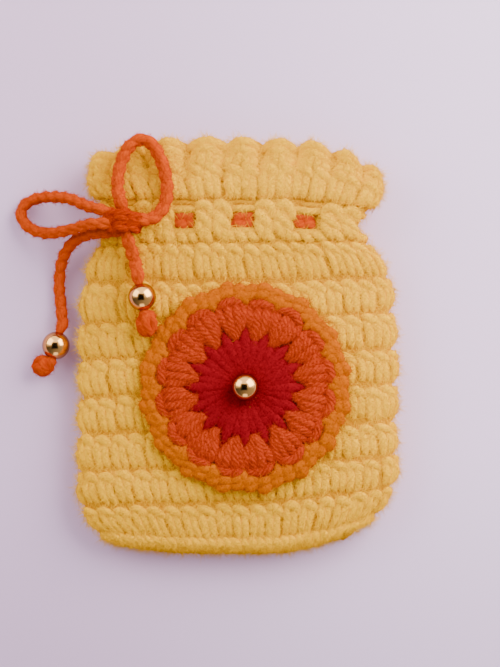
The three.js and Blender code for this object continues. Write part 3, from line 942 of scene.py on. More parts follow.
SEAM_ROUTE = [
    (-37.8, -53.2, 4.4), (-36.0, -54.5, 3.1), (-33.0, -55.6, 2.2), (-23.7, -56.9, 1.95), (-12.1, -57.5, 1.95),
    (-0.5, -57.6, 1.95), (11.1, -57.35, 1.95), (19.2, -56.3, 1.95), (25.7, -54.3, 1.95), (31.3, -51.0, 2.2),
    (34.6, -49.3, 3.1), (36.7, -48.0, 4.4),
]
base_seam = chain_cord("crochet_base_seam", cord_path(SEAM_ROUTE), PALE_YARN, seed=5, lean=0.7)
pouch_body = joined("crochet_body", [body_wall, body_stitches, base_chain], PALE_YARN)
bpy.data.objects.remove(body_form)
fix(pouch_body, "pale_yarn", "pouch_body")
fix(fuzz_of(pouch_body, "yarn_fuzz_body", PALE_YARN, count=290000, length=3.0, seed=71), "pale_yarn")
fix(base_seam, "pale_yarn")
fix(fuzz_of(base_seam, "yarn_fuzz_base_seam", PALE_YARN, count=16000, length=2.6, seed=77), "pale_yarn")

# Eyelet round
# One open round at the neck in the same yarn: pairs of posts with a window between them, joined above and
# below by chains. The drawstring shows in the windows.
# As the lines of the body, with the height as a part of the round's
EYELET_LINES = [
    (0, -40.2, 28.5, 29.0, 37.8, 29.7, 14.8, 1.3),
    (0.5, -38.8, 35.0, 35.4, 36.6, 34.2, 15.4, 1.3),
    (1, -40.2, 40.9, 41.2, 38.2, 38.2, 15.4, 3.0),
]
EYELET_STEPS = 8
EYELET_EXTRA = 0.15  # the form reaches so far past the round at each end, as a part of its height
EYELET_SPAN = 1 + 2 * EYELET_EXTRA  # height of the form
WINDOW_XS = (-32.3, -15.4, 1.4, 19.7)  # on the front, and the same on the back
WINDOWS = 9  # with the one at the right fold
WINDOW_SPAN = (0.3, 0.72)  # of the round's height
WINDOW_WIDTH = 8.4
EYELET_CELL = (17.2, 12.2)  # width and height of one window with its two posts
EYELET_FACE = 1.7
EYELET_BACK = 2.8
WALL_LAP = 0.1  # the plain fabric reaches under the rounds next to it, as a part of the height


def form_places(loop, window_xs, count):
    """Where round the eyelet round each point of a loop lies, when the windows are one apart."""
    front = loop[:count // 2 + 1, 0] / MM
    found = np.interp(window_xs, front, np.arange(count // 2 + 1) / count)
    middles = np.concatenate([found, [0.5], 1 - found[::-1]])
    steps = (np.arange(WINDOWS) + 0.5) / WINDOWS
    places = np.arange(count + 1) / count
    return np.interp(places, [0, *middles, 1], [0, *steps, 1])


eyelet_rows = smooth_rows(EYELET_LINES, EYELET_STEPS)
form_rows = run_on(eyelet_rows, EYELET_EXTRA, EYELET_EXTRA)
eyelet_around = form_places(pouch_loop(EYELET_LINES[1][1:]), WINDOW_XS, LOOP_POINTS)
eyelet_form = surface_form(
    "eyelet_form",
    pouch_loops(form_rows[:, 1:]),
    (form_rows[:, 0] + EYELET_EXTRA) / EYELET_SPAN,
    eyelet_around,
)
cell_middle = (eyelet_around[:-1] + eyelet_around[1:]) / 2 * WINDOWS
from_window = np.abs(cell_middle % 1 - 0.5) * EYELET_CELL[0]
in_window = from_window < WINDOW_WIDTH / 2
wall_rows = run_on(eyelet_rows, WALL_LAP, WALL_LAP)
row_middle = (wall_rows[:-1, 0] + wall_rows[1:, 0]) / 2
open_row = (row_middle > WINDOW_SPAN[0]) & (row_middle < WINDOW_SPAN[1])
eyelet_wall = fabric_wall(
    "eyelet_wall",
    pouch_loops(wall_rows[:, 1:], EYELET_FACE),
    pouch_loops(wall_rows[:, 1:], EYELET_BACK),
    ~(open_row[:, None] & in_window[None, :]),
)


def moved(rows, x, y=0.0):
    return [(a + x, b + y, c, radius) for a, b, c, radius in rows]


POST_XS = (3.6, 8.6)  # left edges of the two posts, from the middle of the window beside them
POST = [
    [  # hood
        (0.0, 8.8, -1.9, 0.8),
        (0.8, 10.4, -1.3, 1.3),
        (2.1, 11.0, -1.15, 1.45),
        (3.5, 10.0, -1.15, 1.4),
        (4.5, 8.2, -1.3, 1.2),
        (4.9, 6.6, -1.9, 0.8),
    ],
    [  # wrap across the middle
        (0.6, 9.2, -1.7, 0.9),
        (1.2, 7.5, -1.2, 1.4),
        (2.5, 5.9, -1.1, 1.5),
        (3.8, 4.3, -1.2, 1.35),
        (4.5, 3.0, -1.8, 0.8),
    ],
    [  # left foot
        (0.8, 6.8, -1.7, 0.9),
        (1.1, 4.8, -1.25, 1.35),
        (1.7, 2.8, -1.2, 1.4),
        (2.5, 0.4, -1.8, 0.9),
    ],
    [  # right foot
        (2.6, 4.6, -1.7, 0.9),
        (3.1, 3.0, -1.25, 1.35),
        (3.8, 1.5, -1.3, 1.3),
        (4.7, 0.0, -1.9, 0.9),
    ],
    [  # behind the hood
        (2.2, 9.8, -2.0, 1.0),
        (2.0, 8.4, -1.7, 1.2),
        (3.4, 6.8, -1.7, 1.2),
        (3.8, 5.4, -2.0, 0.9),
    ],
]
EYELET = [
    *[moved(rows, x) for x in POST_XS for rows in POST],
    [  # strand over the window
        (-5.4, 11.0, -2.7, 0.9),
        (-2.6, 11.2, -2.4, 1.1),
        (0.2, 11.3, -2.3, 1.15),
        (2.8, 11.2, -2.4, 1.1),
        (5.4, 11.0, -2.7, 0.9),
    ],
    [  # upper lip of the window
        (-5.0, 9.3, -2.5, 0.9),
        (-2.5, 9.4, -1.95, 1.2),
        (0.2, 9.4, -1.85, 1.25),
        (2.7, 9.4, -1.95, 1.2),
        (5.0, 9.2, -2.5, 0.9),
    ],
    [  # strand under the window
        (-5.2, 3.0, -2.4, 0.8),
        (-2.4, 2.7, -1.9, 1.1),
        (0.2, 2.5, -1.8, 1.15),
        (2.7, 2.7, -1.9, 1.1),
        (5.2, 3.1, -2.4, 0.8),
    ],
    [  # chain below the window
        (-4.4, 2.4, -1.9, 0.8),
        (-3.4, 1.5, -1.3, 1.3),
        (-2.0, 0.1, -1.8, 0.9),
    ],
    [
        (-1.4, 2.4, -1.9, 0.8),
        (-0.4, 1.3, -1.25, 1.3),
        (1.0, 0.0, -1.8, 0.9),
    ],
    [
        (1.6, 2.4, -1.9, 0.8),
        (2.6, 1.5, -1.3, 1.3),
        (3.9, 0.1, -1.8, 0.9),
    ],
]
eyelet_stitches = work_rounds(
    "eyelet_stitches",
    eyelet_form,
    stitch_patterns("eyelet", EYELET, in_cell(*EYELET_CELL), seed=6, flat=0.8),
    stitches=WINDOWS,
    first=EYELET_EXTRA / EYELET_SPAN,
    height=1 / EYELET_SPAN,
    seed=5,
    yarn=PALE_YARN,
    shift=0.5,
    uneven=0.3,
)
eyelet_round = joined("crochet_eyelets", [eyelet_wall, eyelet_stitches], PALE_YARN)
bpy.data.objects.remove(eyelet_form)
fix(eyelet_round, "pale_yarn", "eyelet_round")
fix(fuzz_of(eyelet_round, "yarn_fuzz_eyelets", PALE_YARN, count=48000, length=2.6, seed=72), "pale_yarn")

# Frill
# A last round of tall stitches that flares out above the neck, and on it an edge of scallops, each a fan
# of short strands under an arch of chain. It is worked on to the eyelet round in the same yarn.
# As the lines of the body, with the height as a part of the frill's
FRILL_LINES = [
    (0, -40.6, 41.0, 41.5, 38.6, 38.3, 15.4, 3.0),
    (0.33, -43.2, 43.6, 46.8, 41.4, 40.9, 15.4, 3.2),
    (0.62, -44.4, 48.2, 52.0, 42.9, 44.0, 15.4, 3.4),
    (1, -43.6, 54.2, 59.8, 42.8, 49.2, 14.4, 3.4),
]
FRILL_STEPS = 6
SCALLOPS = 18  # half of them on the front, with a valley at each side fold
MIDDLE_SCALLOP_X = 2.0
WAVE = 2.6  # depth of the valleys between the scallops at the edge
FRILL_TOP = 0.66  # height of the frill's tall stitches, as a part of its own
FRILL_WALL_TOP = 0.69  # height of the plain fabric between them
FRILL_STITCH = (5.2, 10.9)
SCALLOP_CELL = (9.9, 8.6)
SCALLOP_FOOT = 0.57  # where the scallops begin
FRILL_EXTRA = 0.1  # the form reaches so far past the frill at each end, as a part of its height
FRILL_SPAN = 1 + 2 * FRILL_EXTRA  # height of the form
FRILL_THICK = 3.2  # from the stitches outside to those inside
FRILL_FACE = 1.7
FRILL_BACK = 2.0


def waved(loops, heights, around):
    """Loops pressed in between the scallops, more so towards the edge."""
    valley = 0.5 * (1 + np.cos(around[:-1] * SCALLOPS * 2 * np.pi))
    depth = np.array(heights)[:, None] * valley[None, :] * WAVE * MM
    return loops - outward_of(loops) * depth[:, :, None]


frill_rows = smooth_rows(FRILL_LINES, FRILL_STEPS)
edge_front = pouch_loop(FRILL_LINES[-1][1:])[:LOOP_POINTS // 2 + 1, 0] / MM
middle_place = float(np.interp(MIDDLE_SCALLOP_X, edge_front, np.arange(len(edge_front)) / LOOP_POINTS))
frill_around = np.interp(
    np.arange(LOOP_POINTS + 1) / LOOP_POINTS,
    [0, middle_place, 0.5, 1 - middle_place, 1],
    [0, 0.25, 0.5, 0.75, 1],
)
form_rows = run_on(frill_rows, FRILL_EXTRA, FRILL_EXTRA)
frill_form = surface_form(
    "frill_form",
    waved(pouch_loops(form_rows[:, 1:]), np.maximum(form_rows[:, 0], 0), frill_around),
    (form_rows[:, 0] + FRILL_EXTRA) / FRILL_SPAN,
    frill_around,
)
walled = frill_rows[:, 0] <= FRILL_WALL_TOP
wall_lines = frill_rows[walled]
frill_wall = fabric_wall(
    "frill_wall",
    waved(pouch_loops(wall_lines[:, 1:], FRILL_FACE), wall_lines[:, 0], frill_around),
    waved(pouch_loops(wall_lines[:, 1:], FRILL_BACK), wall_lines[:, 0], frill_around),
)
FULLER = 1.1  # the yarn of the frill's stitches is looser
frill_stitch = [[(x, y, z, FULLER * radius) for x, y, z, radius in strand] for strand in TALL_STITCH]
frill_patterns = stitch_patterns(
    "frill_stitch", frill_stitch, in_cell(*FRILL_STITCH), seed=8, flat=STITCH_FLAT,
)
frill_sides = []
for side, lift in ((1.0, 0.0), (-1.0, -FRILL_THICK * MM)):
    frill_sides.append(work_rounds(
        "frill_side",
        frill_form,
        frill_patterns,
        stitches=2 * SCALLOPS,
        first=FRILL_EXTRA / FRILL_SPAN,
        height=FRILL_TOP / FRILL_SPAN,
        seed=9,
        yarn=PALE_YARN,
        lift=lift,
        side=side,
    ))
SCALLOP = [
    [  # outer arch, left half
        (0.2, 4.2, -2.5, 0.77),
        (1.2, 6.0, -1.6, 1.12),
        (2.8, 7.1, -1.35, 1.25),
        (4.6, 7.2, -1.5, 1.12),
        (5.8, 6.8, -2.0, 0.77),
    ],
    [  # outer arch, right half
        (4.0, 6.7, -2.0, 0.77),
        (5.4, 7.2, -1.4, 1.16),
        (7.2, 6.9, -1.35, 1.25),
        (8.7, 5.8, -1.6, 1.07),
        (9.7, 4.2, -2.5, 0.77),
    ],
    [  # inner arch
        (0.9, 3.0, -1.8, 0.86),
        (2.0, 4.5, -1.25, 1.2),
        (4.0, 5.1, -1.1, 1.29),
        (6.2, 4.9, -1.1, 1.25),
        (8.0, 4.0, -1.3, 1.16),
        (9.0, 2.6, -1.8, 0.86),
    ],
    [  # fan under the arches
        (1.2, -0.4, -1.9, 0.86),
        (1.3, 1.4, -1.3, 1.25),
        (1.9, 3.4, -1.5, 1.16),
        (2.6, 4.6, -1.9, 0.86),
    ],
    [
        (3.4, -0.4, -1.9, 0.86),
        (3.6, 1.4, -1.2, 1.29),
        (3.9, 3.2, -1.4, 1.2),
        (4.2, 4.6, -1.9, 0.86),
    ],
    [
        (5.8, -0.4, -1.9, 0.86),
        (6.0, 1.4, -1.2, 1.29),
        (6.1, 3.2, -1.4, 1.2),
        (6.0, 4.6, -1.9, 0.86),
    ],
    [
        (8.2, -0.4, -1.9, 0.86),
        (8.3, 1.4, -1.3, 1.25),
        (8.0, 3.0, -1.5, 1.16),
        (7.6, 4.2, -1.9, 0.86),
    ],
    [  # between two scallops
        (-0.2, -0.2, -2.4, 0.86),
        (0.0, 2.2, -2.2, 1.12),
        (0.0, 4.2, -2.2, 1.03),
        (-0.1, 5.9, -2.5, 0.77),
    ],
]
scallop_edge = work_rounds(
    "scallop_edge",
    frill_form,
    stitch_patterns("scallop", SCALLOP, in_cell(*SCALLOP_CELL), wobble=0.3, seed=10, flat=0.85),
    stitches=SCALLOPS,
    first=(SCALLOP_FOOT + FRILL_EXTRA) / FRILL_SPAN,
    height=(1 - SCALLOP_FOOT) / FRILL_SPAN,
    seed=10,
    yarn=PALE_YARN,
    uneven=0.8,
)
frill = joined("crochet_frill", [frill_wall, *frill_sides, scallop_edge], PALE_YARN)
bpy.data.objects.remove(frill_form)
fix(frill, "pale_yarn", "frill")
fix(fuzz_of(frill, "yarn_fuzz_frill", PALE_YARN, count=100000, length=2.8, seed=73), "pale_yarn")

# Drawstring
# A crocheted chain of orange yarn, flattened where it runs inside the neck behind the posts and round the
# back. It shows through the windows, and its two ends come out at the left.
# Pale colour, then the darker one for darker fibres and painted shade
CORD_YARN = yarn_material(
    "orange cord yarn", (0.52, 0.062, 0.004), (0.38, 0.034, 0.002), ply_shade=0.25, fibre=0.6, relief=0.3,
)
DRAWN_ROUTE = [
    (-24.5, 35.7, 11.2), (-15.4, 35.4, 13.1), (-7.0, 35.7, 11.2), (1.4, 35.4, 13.1), (10.5, 35.7, 11.2),
    (18.9, 35.3, 13.0), (23.0, 35.7, 11.6), (27.6, 35.5, 10.8), (31.4, 35.2, 9.6), (33.0, 35.1, 7.7),
    (31.4, 35.2, 5.7), (27.6, 35.5, 4.7), (22.4, 35.9, 4.3), (10.0, 35.9, 4.2), (-2.0, 35.9, 4.2),
    (-14.0, 35.9, 4.2), (-25.4, 35.9, 4.3), (-27.8, 35.9, 5.3), (-28.8, 35.9, 7.7),
]
drawstring = chain_cord(
    "chain_drawstring", cord_path(DRAWN_ROUTE), CORD_YARN, seed=21, width=1.55, thickness=0.6,
)
fix(drawstring, "cord_yarn", "drawstring")

# Beads
# Round beads with a polished gold-coloured plating, drilled through. One is strung on each tail of the
# cord, and one is sewn to the middle of the motif.
BEAD_RADIUS = 4.0
BEAD_HOLE = 1.2
BEAD_SIDES = 48
BEAD_STEPS = 24  # from one end of the hole to the other
LIP_START = 1.12  # where the ball ends and the lip begins, in parts of the hole's radius
LIP = [(1.03, -0.01), (0.97, 0.12), (0.95, 0.5)]  # radius in parts of the hole's, and how far inside
PLATING = (0.80, 0.42, 0.12, 1)
WORN_PLATING = (0.70, 0.33, 0.08, 1)
# Painted shade darkens the plating towards its rim
PAINTED_RIM_SHADE = (0.22, 0.085, 0.02, 1)
RIM_SHADE_SLANTS = (0.32, 0.75, 0.0, 0.8)  # slants between which the plating darkens, and the rim colour's share there
WEAR = 900.0  # scale of the worn places
POLISH = (0.10, 0.2)  # roughness of bright plating, and of worn
FRONT_BEAD = ((-27.35, 13.05, 16.3), (-0.17, 0.98, 0.07))  # middle, and the way of the hole to the tail
LEFT_BEAD = ((-52.3, 0.0, 4.02), (0.30, 0.95, -0.07))
MOTIF_BEAD = ((2.0, -12.7, 17.1), (0.0, 1.0, 0.0))


def bead_material():
    """Polished plating that is lightly worn, with painted shade that darkens it at a slant."""
    material = bpy.data.materials.new("gold plating")
    material.use_nodes = True
    tree = material.node_tree
    shader = tree.nodes["Principled BSDF"]
    place = add_node(tree, "ShaderNodeTexCoord").outputs["Object"]
    wear = noise(tree, place, WEAR, 4.0)
    plating = blend(tree, wear, PLATING, WORN_PLATING)
    # Painted shade at the rim, by the slant of the surface
    slant = add_node(tree, "ShaderNodeLayerWeight").outputs["Facing"]
    plating_with_rim_shade = blend(tree, mapped(tree, slant, *RIM_SHADE_SLANTS), plating, PAINTED_RIM_SHADE)
    tree.links.new(plating_with_rim_shade, shader.inputs["Base Color"])
    tree.links.new(mapped(tree, wear, 0.0, 1.0, *POLISH), shader.inputs["Roughness"])
    shader.inputs["Metallic"].default_value = 1.0
    return material


GOLD = bead_material()


def bead(name, node, middle, hole):
    """A ball turned about the line of its hole, with a rounded lip."""
    axis = Vector(hole).normalized()
    across = axis.orthogonal().normalized()
    third = axis.cross(across)
    first = math.asin(BEAD_HOLE * LIP_START / BEAD_RADIUS)
    profile = []
    for k in range(BEAD_STEPS + 1):
        angle = first + (math.pi - 2 * first) * k / BEAD_STEPS
        profile.append((BEAD_RADIUS * math.sin(angle), BEAD_RADIUS * math.cos(angle)))
    end = profile[-1][1]
    lip = [(BEAD_HOLE * part, end + inside) for part, inside in LIP]
    waist = (lip[-1][0], 0.0)
    profile += [*lip, waist, *[(radius, -height) for radius, height in reversed(lip)]]
    points, faces = [], []
    for radius, height in profile:
        for k in range(BEAD_SIDES):
            angle = 2 * math.pi * k / BEAD_SIDES
            out = across * math.cos(angle) + third * math.sin(angle)
            points.append((Vector(middle) + out * radius + axis * height) * MM)
    rings = len(profile)
    for j in range(rings):
        low, high = j * BEAD_SIDES, (j + 1) % rings * BEAD_SIDES
        for k in range(BEAD_SIDES):
            m = (k + 1) % BEAD_SIDES
            faces.append((low + m, low + k, high + k, high + m))
    mesh = bpy.data.meshes.new(name)
    mesh.from_pydata(points, [], faces)
    mesh.polygons.foreach_set("use_smooth", [True] * len(faces))
    mesh.materials.append(GOLD)
    ball = new_piece(name, mesh)
    fix(ball, "gold_bead", node)
    return ball


front_bead = bead("gold_bead_front", "tail_bead_front", *FRONT_BEAD)
left_bead = bead("gold_bead_left", "tail_bead_left", *LEFT_BEAD)
bead("gold_bead_motif", "motif_bead", *MOTIF_BEAD)

# End knots
# The end of each tail is knotted into a small ball of the same orange yarn, with a collar under the bead
# that it stops. The yarn goes on through the bead to the tail.
END_KNOTS = [  # side, bead, the way from it, the distance, half the width, length and height, and seed
    ("front", FRONT_BEAD, (0.17, -0.98, -0.08), 7.6, (3.2, 4.1, 3.3), 31),
    ("left", LEFT_BEAD, (-0.54, -0.84, -0.07), 6.9, (3.4, 3.2, 3.2), 32),
]
BALL_TURNS = 4
BALL_STRAND = 1.5
TURN_STEPS = 14
TURN_LEAN = 1.62  # half turns by which each turn of the winding leans over from the last
TURN_SPIN = 0.7  # how much of that it also turns sideways
STRAND_SPREAD = (0.92, 1.06)  # how the thickness of the strand varies
THIN_END = 0.6
# Painted shade on the balls: some on the outside, more towards the inside
BALL_SHADE = 0.36  # share of the deep colour on a ball's outside
BALL_SHADE_INWARD = 3.6  # how fast it grows inwards, over the ball's radius
# Distance from the middle of a bead towards its tail, and radius of the yarn there
STEM = [(-6.4, 1.1), (-5.2, 1.65), (-4.2, 1.6), (-3.4, 1.0), (0.0, 0.9), (3.0, 0.9), (5.0, 0.7)]


def in_place(x, y, z):
    return x * MM, y * MM, z * MM


def wound_ball(name, middle, half_axes, turns, strand, seed):
    """A ball of one strand wound round and round, with painted shade that grows towards its inside."""
    draw = random.Random(seed)
    lean = draw.uniform(0, math.pi)
    rows = []
    steps = turns * TURN_STEPS
    for k in range(steps + 1):
        angle = 2 * math.pi * k / TURN_STEPS
        tip = lean + math.pi * TURN_LEAN * k / TURN_STEPS
        x, y, z = math.cos(angle), math.sin(angle) * math.cos(tip), math.sin(angle) * math.sin(tip)
        spin = tip * TURN_SPIN
        x, y = x * math.cos(spin) - y * math.sin(spin), x * math.sin(spin) + y * math.cos(spin)
        spot = [m + (h - strand) * v for m, h, v in zip(middle, half_axes, (x, y, z))]
        thick = THIN_END if k in (0, steps) else draw.uniform(*STRAND_SPREAD)
        rows.append((*spot, strand * thick))
    mesh = yarn_strand(name, rows, in_place, steps=1)
    # Painted shade by how far inside the ball each point lies
    out = np.array([v.co for v in mesh.vertices]) / MM - np.array(middle)
    down = 1 - np.linalg.norm(out / np.array(half_axes), axis=1)
    depth = mesh.attributes.new("depth", "FLOAT", "POINT")
    depth.data.foreach_set("value", np.clip(BALL_SHADE_INWARD * down + BALL_SHADE, 0, 1))
    tone = mesh.attributes.new("tone", "FLOAT", "POINT")
    tone.data.foreach_set("value", [MIDDLE_TONE] * len(mesh.vertices))
    return new_piece(name, mesh)


def along_hole(bead_place, distance):
    middle, hole = bead_place
    return Vector(middle) + Vector(hole).normalized() * distance


end_knots = []
for side, place, away, distance, half_axes, seed in END_KNOTS:
    spot = Vector(place[0]) + Vector(away).normalized() * distance
    ball = wound_ball("yarn_ball_" + side, spot, half_axes, BALL_TURNS, BALL_STRAND, seed)
    stem_rows = [(*along_hole(place, at), radius) for at, radius in STEM]
    stem = new_piece("stem", yarn_strand("stem", stem_rows, in_place))
    ball = joined("yarn_ball_" + side, [ball, stem], CORD_YARN)
    fuzz_seed = seed + FIBRES_AFTER
    ball_fuzz = fuzz_of(ball, "yarn_fuzz_ball_" + side, CORD_YARN, count=2500, length=1.3, seed=fuzz_seed)
    fix(ball, "cord_yarn", "end_knot_" + side)
    fix(ball_fuzz, "cord_yarn")
    end_knots.append([ball, ball_fuzz])

# Bow
# Both ends of the drawstring, the same crocheted chain, come out at the left of the neck and are tied in a
# bow. One loop lies up on the frill and one out to the left, one tail hangs in front and one at the left,
# and the knot is drawn tight round them.
CORD_LEAN = 0.8
CORD_TWIST = 12.0
FIBRES_ON_CORD = 90  # on each millimetre
BEAD_GAP = 0.3  # between a tail and its bead
ENTRY_STRETCH = 2.4  # length of a tail that points straight at its bead's hole
LOOP_UP = [
    (-33.6, 40.4, 18.8), (-34.2, 43.2, 18.2), (-34.3, 46.7, 17.7), (-33.4, 51.2, 17.6), (-31.7, 55.1, 17.6),
    (-29.7, 57.3, 17.6), (-27.2, 58.1, 17.6), (-24.4, 56.6, 17.6), (-22.4, 53.2, 17.6), (-20.8, 48.6, 17.6),
    (-20.1, 43.8, 17.6), (-20.8, 39.4, 17.6), (-22.6, 36.4, 17.9), (-25.4, 34.9, 18.3), (-27.4, 34.9, 18.6),
]
LOOP_LEFT = [
    (-39.0, 37.8, 18.6), (-42.2, 38.8, 17.0), (-48.6, 41.6, 11.8), (-53.4, 42.5, 7.4), (-57.4, 42.4, 4.2),
    (-60.8, 41.1, 2.6), (-62.4, 38.7, 2.3), (-61.8, 36.2, 2.8), (-60.1, 34.2, 4.1), (-57.6, 32.8, 6.0),
    (-53.4, 32.0, 9.4), (-47.7, 32.7, 13.6), (-42.4, 33.9, 17.2), (-39.0, 34.0, 19.0),
]
TAIL_FRONT = [(-31.9, 31.9, 18.4), (-31.4, 29.9, 17.8), (-30.4, 26.6, 16.6), (-29.2, 23.0, 15.7)]
TAIL_LEFT = [
    (-39.0, 31.6, 14.6), (-42.6, 31.3, 12.6), (-46.6, 29.8, 9.2), (-49.6, 26.6, 5.4), (-51.0, 22.4, 2.9),
    (-51.4, 17.6, 2.1), (-51.0, 12.8, 2.2), (-50.6, 9.4, 2.9),
]
OUT_OF_NECK = (-32.3, 35.9, 15.6)


def to_bead(place):
    """The straight end of a tail in front of its bead."""
    near = BEAD_RADIUS + BEAD_GAP
    return [tuple(along_hole(place, near + ENTRY_STRETCH)), tuple(along_hole(place, near))]


UP_ROUTE = [
    OUT_OF_NECK, (-33.0, 38.2, 17.4), *LOOP_UP, (-30.2, 35.1, 18.6), (-31.8, 34.0, 18.7), *TAIL_FRONT,
    *to_bead(FRONT_BEAD),
]
LEFT_LOOP_ROUTE = [OUT_OF_NECK, (-35.4, 36.8, 17.8), *LOOP_LEFT, (-35.6, 33.9, 18.9), (-33.0, 33.8, 18.2)]
LEFT_TAIL_ROUTE = [(-33.4, 32.2, 16.6), (-35.8, 31.8, 15.3), *TAIL_LEFT, *to_bead(LEFT_BEAD)]
CORDS = [  # name, route, seed, how full, nodes, what its far end is, and what is strung on it
    ("bow_up", UP_ROUTE, 41, 0.98, ("bow_loop_up", "tail_front"), "knot", [front_bead, *end_knots[0]]),
    ("loop_left", LEFT_LOOP_ROUTE, 42, 0.87, ("bow_loop_left",), "object", []),
    ("tail_left", LEFT_TAIL_ROUTE, 43, 0.87, ("tail_left",), "knot", [left_bead, *end_knots[1]]),
]
for name, route, seed, full, nodes, far_end, on_it in CORDS:
    path = cord_path(route)
    length = float(np.linalg.norm(np.diff(path, axis=0), axis=1).sum())
    cord = chain_cord("chain_" + name, path, CORD_YARN, seed, full, full, CORD_LEAN, CORD_TWIST)
    fibres = round(FIBRES_ON_CORD * length)
    fuzz_seed = seed + FIBRES_AFTER
    cord_fuzz = fuzz_of(cord, "yarn_fuzz_" + name, CORD_YARN, count=fibres, length=1.5, seed=fuzz_seed)
    fix(cord, "cord_yarn", *nodes)
    fix(cord_fuzz, "cord_yarn")
    [v * MM for v in route[0]]
    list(on_it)
KNOT_MIDDLE = (-32.6, 34.4, 18.9)
KNOT_WRAPS = [
    [(-37.2, 35.5, 17.8), (-35.4, 36.0, 19.9), (-32.6, 36.0, 20.8), (-29.8, 35.2, 20.2), (-27.6, 34.2, 18.2)],
    [(-36.6, 32.8, 17.6), (-35.0, 33.1, 19.6), (-32.4, 33.1, 20.5), (-30.0, 33.0, 19.7), (-28.4, 32.6, 18.0)],
]
KNOT_HALF_AXES = (5.0, 3.8, 2.6)
KNOT_TURNS = 7
KNOT_STRAND = 1.1
# The knot's yarn is the cord's yarn made darker: painted shade
SHADED_KNOT_YARN = yarn_material(
    "cord yarn with painted shade", (0.40, 0.034, 0.001), (0.20, 0.008, 0.0), ply_shade=0.3, fibre=0.7, relief=0.5,
)
knot_core = wound_ball("knot_core", KNOT_MIDDLE, KNOT_HALF_AXES, KNOT_TURNS, KNOT_STRAND, seed=44)
wraps = []
for turn, route in enumerate(KNOT_WRAPS):
    wrap_name = f"knot_wrap_{turn}"
    wraps.append(chain_cord(wrap_name, cord_path(route), CORD_YARN, seed=45 + turn, thickness=0.8))
knot = joined("chain_knot", [knot_core, *wraps], SHADED_KNOT_YARN)
fix(knot, "cord_yarn", "bow_knot")
fix(fuzz_of(knot, "yarn_fuzz_knot", SHADED_KNOT_YARN, count=4000, length=1.6, seed=95), "cord_yarn")

# Motif middle
# The flat round motif on the front starts from a ring of tall stitches in red yarn, worked close together
# round a small hole so that they end in a star of sixteen points. The whole motif is sewn to the pouch.
MOTIF_MIDDLE = (2.0, -12.7)
MOTIF_REACH = 32.0
MOTIF_UNDERSIDE = 12.3
# Height of the face at a radius
MOTIF_FACE = [(0, 14.8), (3, 14.8), (13, 14.9), (17, 15.1), (21, 15.4), (25, 15.2), (28, 14.8), (32, 14.2)]
PETALS = 16
MOTIF_POINTS = 160  # round a loop
MOTIF_LOOPS = 32
MOTIF_STRAND = {"sides": 15, "steps": 3, "plies": 5}


def motif_loop(radius, height):
    angle = -2 * np.pi * np.arange(MOTIF_POINTS) / MOTIF_POINTS
    x = MOTIF_MIDDLE[0] + radius * np.cos(angle)
    y = MOTIF_MIDDLE[1] + radius * np.sin(angle)
    return np.stack([x, y, np.full(MOTIF_POINTS, height)], axis=1) * MM


motif_radii = np.linspace(1, MOTIF_REACH, MOTIF_LOOPS)
motif_heights = np.interp(motif_radii, *zip(*MOTIF_FACE))
motif_form = surface_form(
    "motif_form",
    np.array([motif_loop(r, z) for r, z in zip(motif_radii, motif_heights)]),
    motif_radii / MOTIF_REACH,
)


def ring_wall(name, inner, outer, top):
    """Plain fabric under a ring of stitches, all of it in painted shade."""
    rows = [np.array([motif_loop(r, z) for r in (inner, outer)]) for z in (top, MOTIF_UNDERSIDE)]
    return fabric_wall(name, *rows)


def motif_ring(name, strands, yarn, inner, outer, seed, shift=0.0, uneven=0.5, wobble=0.16, flat=0.8):
    """A stitch for each petal round the motif, from one radius to another. In strands, x is the distance
    from the stitch's middle, and y the radius."""
    def in_ring(x, y, z):
        return 0.5 + x * PETALS / (2 * math.pi * y), (y - inner) / (outer - inner), z * MM

    return work_rounds(
        name,
        motif_form,
        stitch_patterns(name, strands, in_ring, wobble=wobble, seed=seed, flat=flat, **MOTIF_STRAND),
        stitches=PETALS,
        first=inner / MOTIF_REACH,
        height=(outer - inner) / MOTIF_REACH,
        seed=seed,
        yarn=yarn,
        shift=shift,
        uneven=uneven,
    )


# Pale colour, then the darker one for darker fibres and painted shade
RED_YARN = yarn_material(
    "red yarn", (0.205, 0.0044, 0.0085), (0.15, 0.0025, 0.005), ply_shade=0.03, fibre=0.1, relief=0.1,
)
RED_STITCH = [
    [  # to the point of the star
        (0.0, 3.0, -1.5, 0.45),
        (0.1, 5.5, -1.0, 0.95),
        (0.2, 9.0, -0.9, 1.65),
        (0.1, 12.6, -0.9, 1.7),
        (0.0, 15.4, -1.1, 1.15),
        (0.0, 17.9, -1.8, 0.3),
    ],
    [  # between two points
        (0.7, 3.0, -1.5, 0.45),
        (1.1, 5.5, -1.05, 0.95),
        (1.8, 9.0, -1.0, 1.6),
        (2.4, 12.0, -1.05, 1.7),
        (2.8, 14.4, -1.8, 0.9),
    ],
    [  # ring round the hole
        (-0.9, 3.2, -1.7, 0.5),
        (0.0, 3.5, -1.2, 0.75),
        (0.9, 3.2, -1.7, 0.5),
    ],
]
red_middle = joined("crochet_red_middle", [
    ring_wall("red_wall", inner=2.9, outer=15.2, top=13.9),
    motif_ring("red_stitch", RED_STITCH, RED_YARN, inner=2.0, outer=18.0, seed=51, shift=0.5, flat=0.6),
], RED_YARN)
fix(red_middle, "red_yarn", "motif_center")
fix(fuzz_of(red_middle, "yarn_fuzz_red", RED_YARN, count=14000, length=2.2, seed=74), "red_yarn")
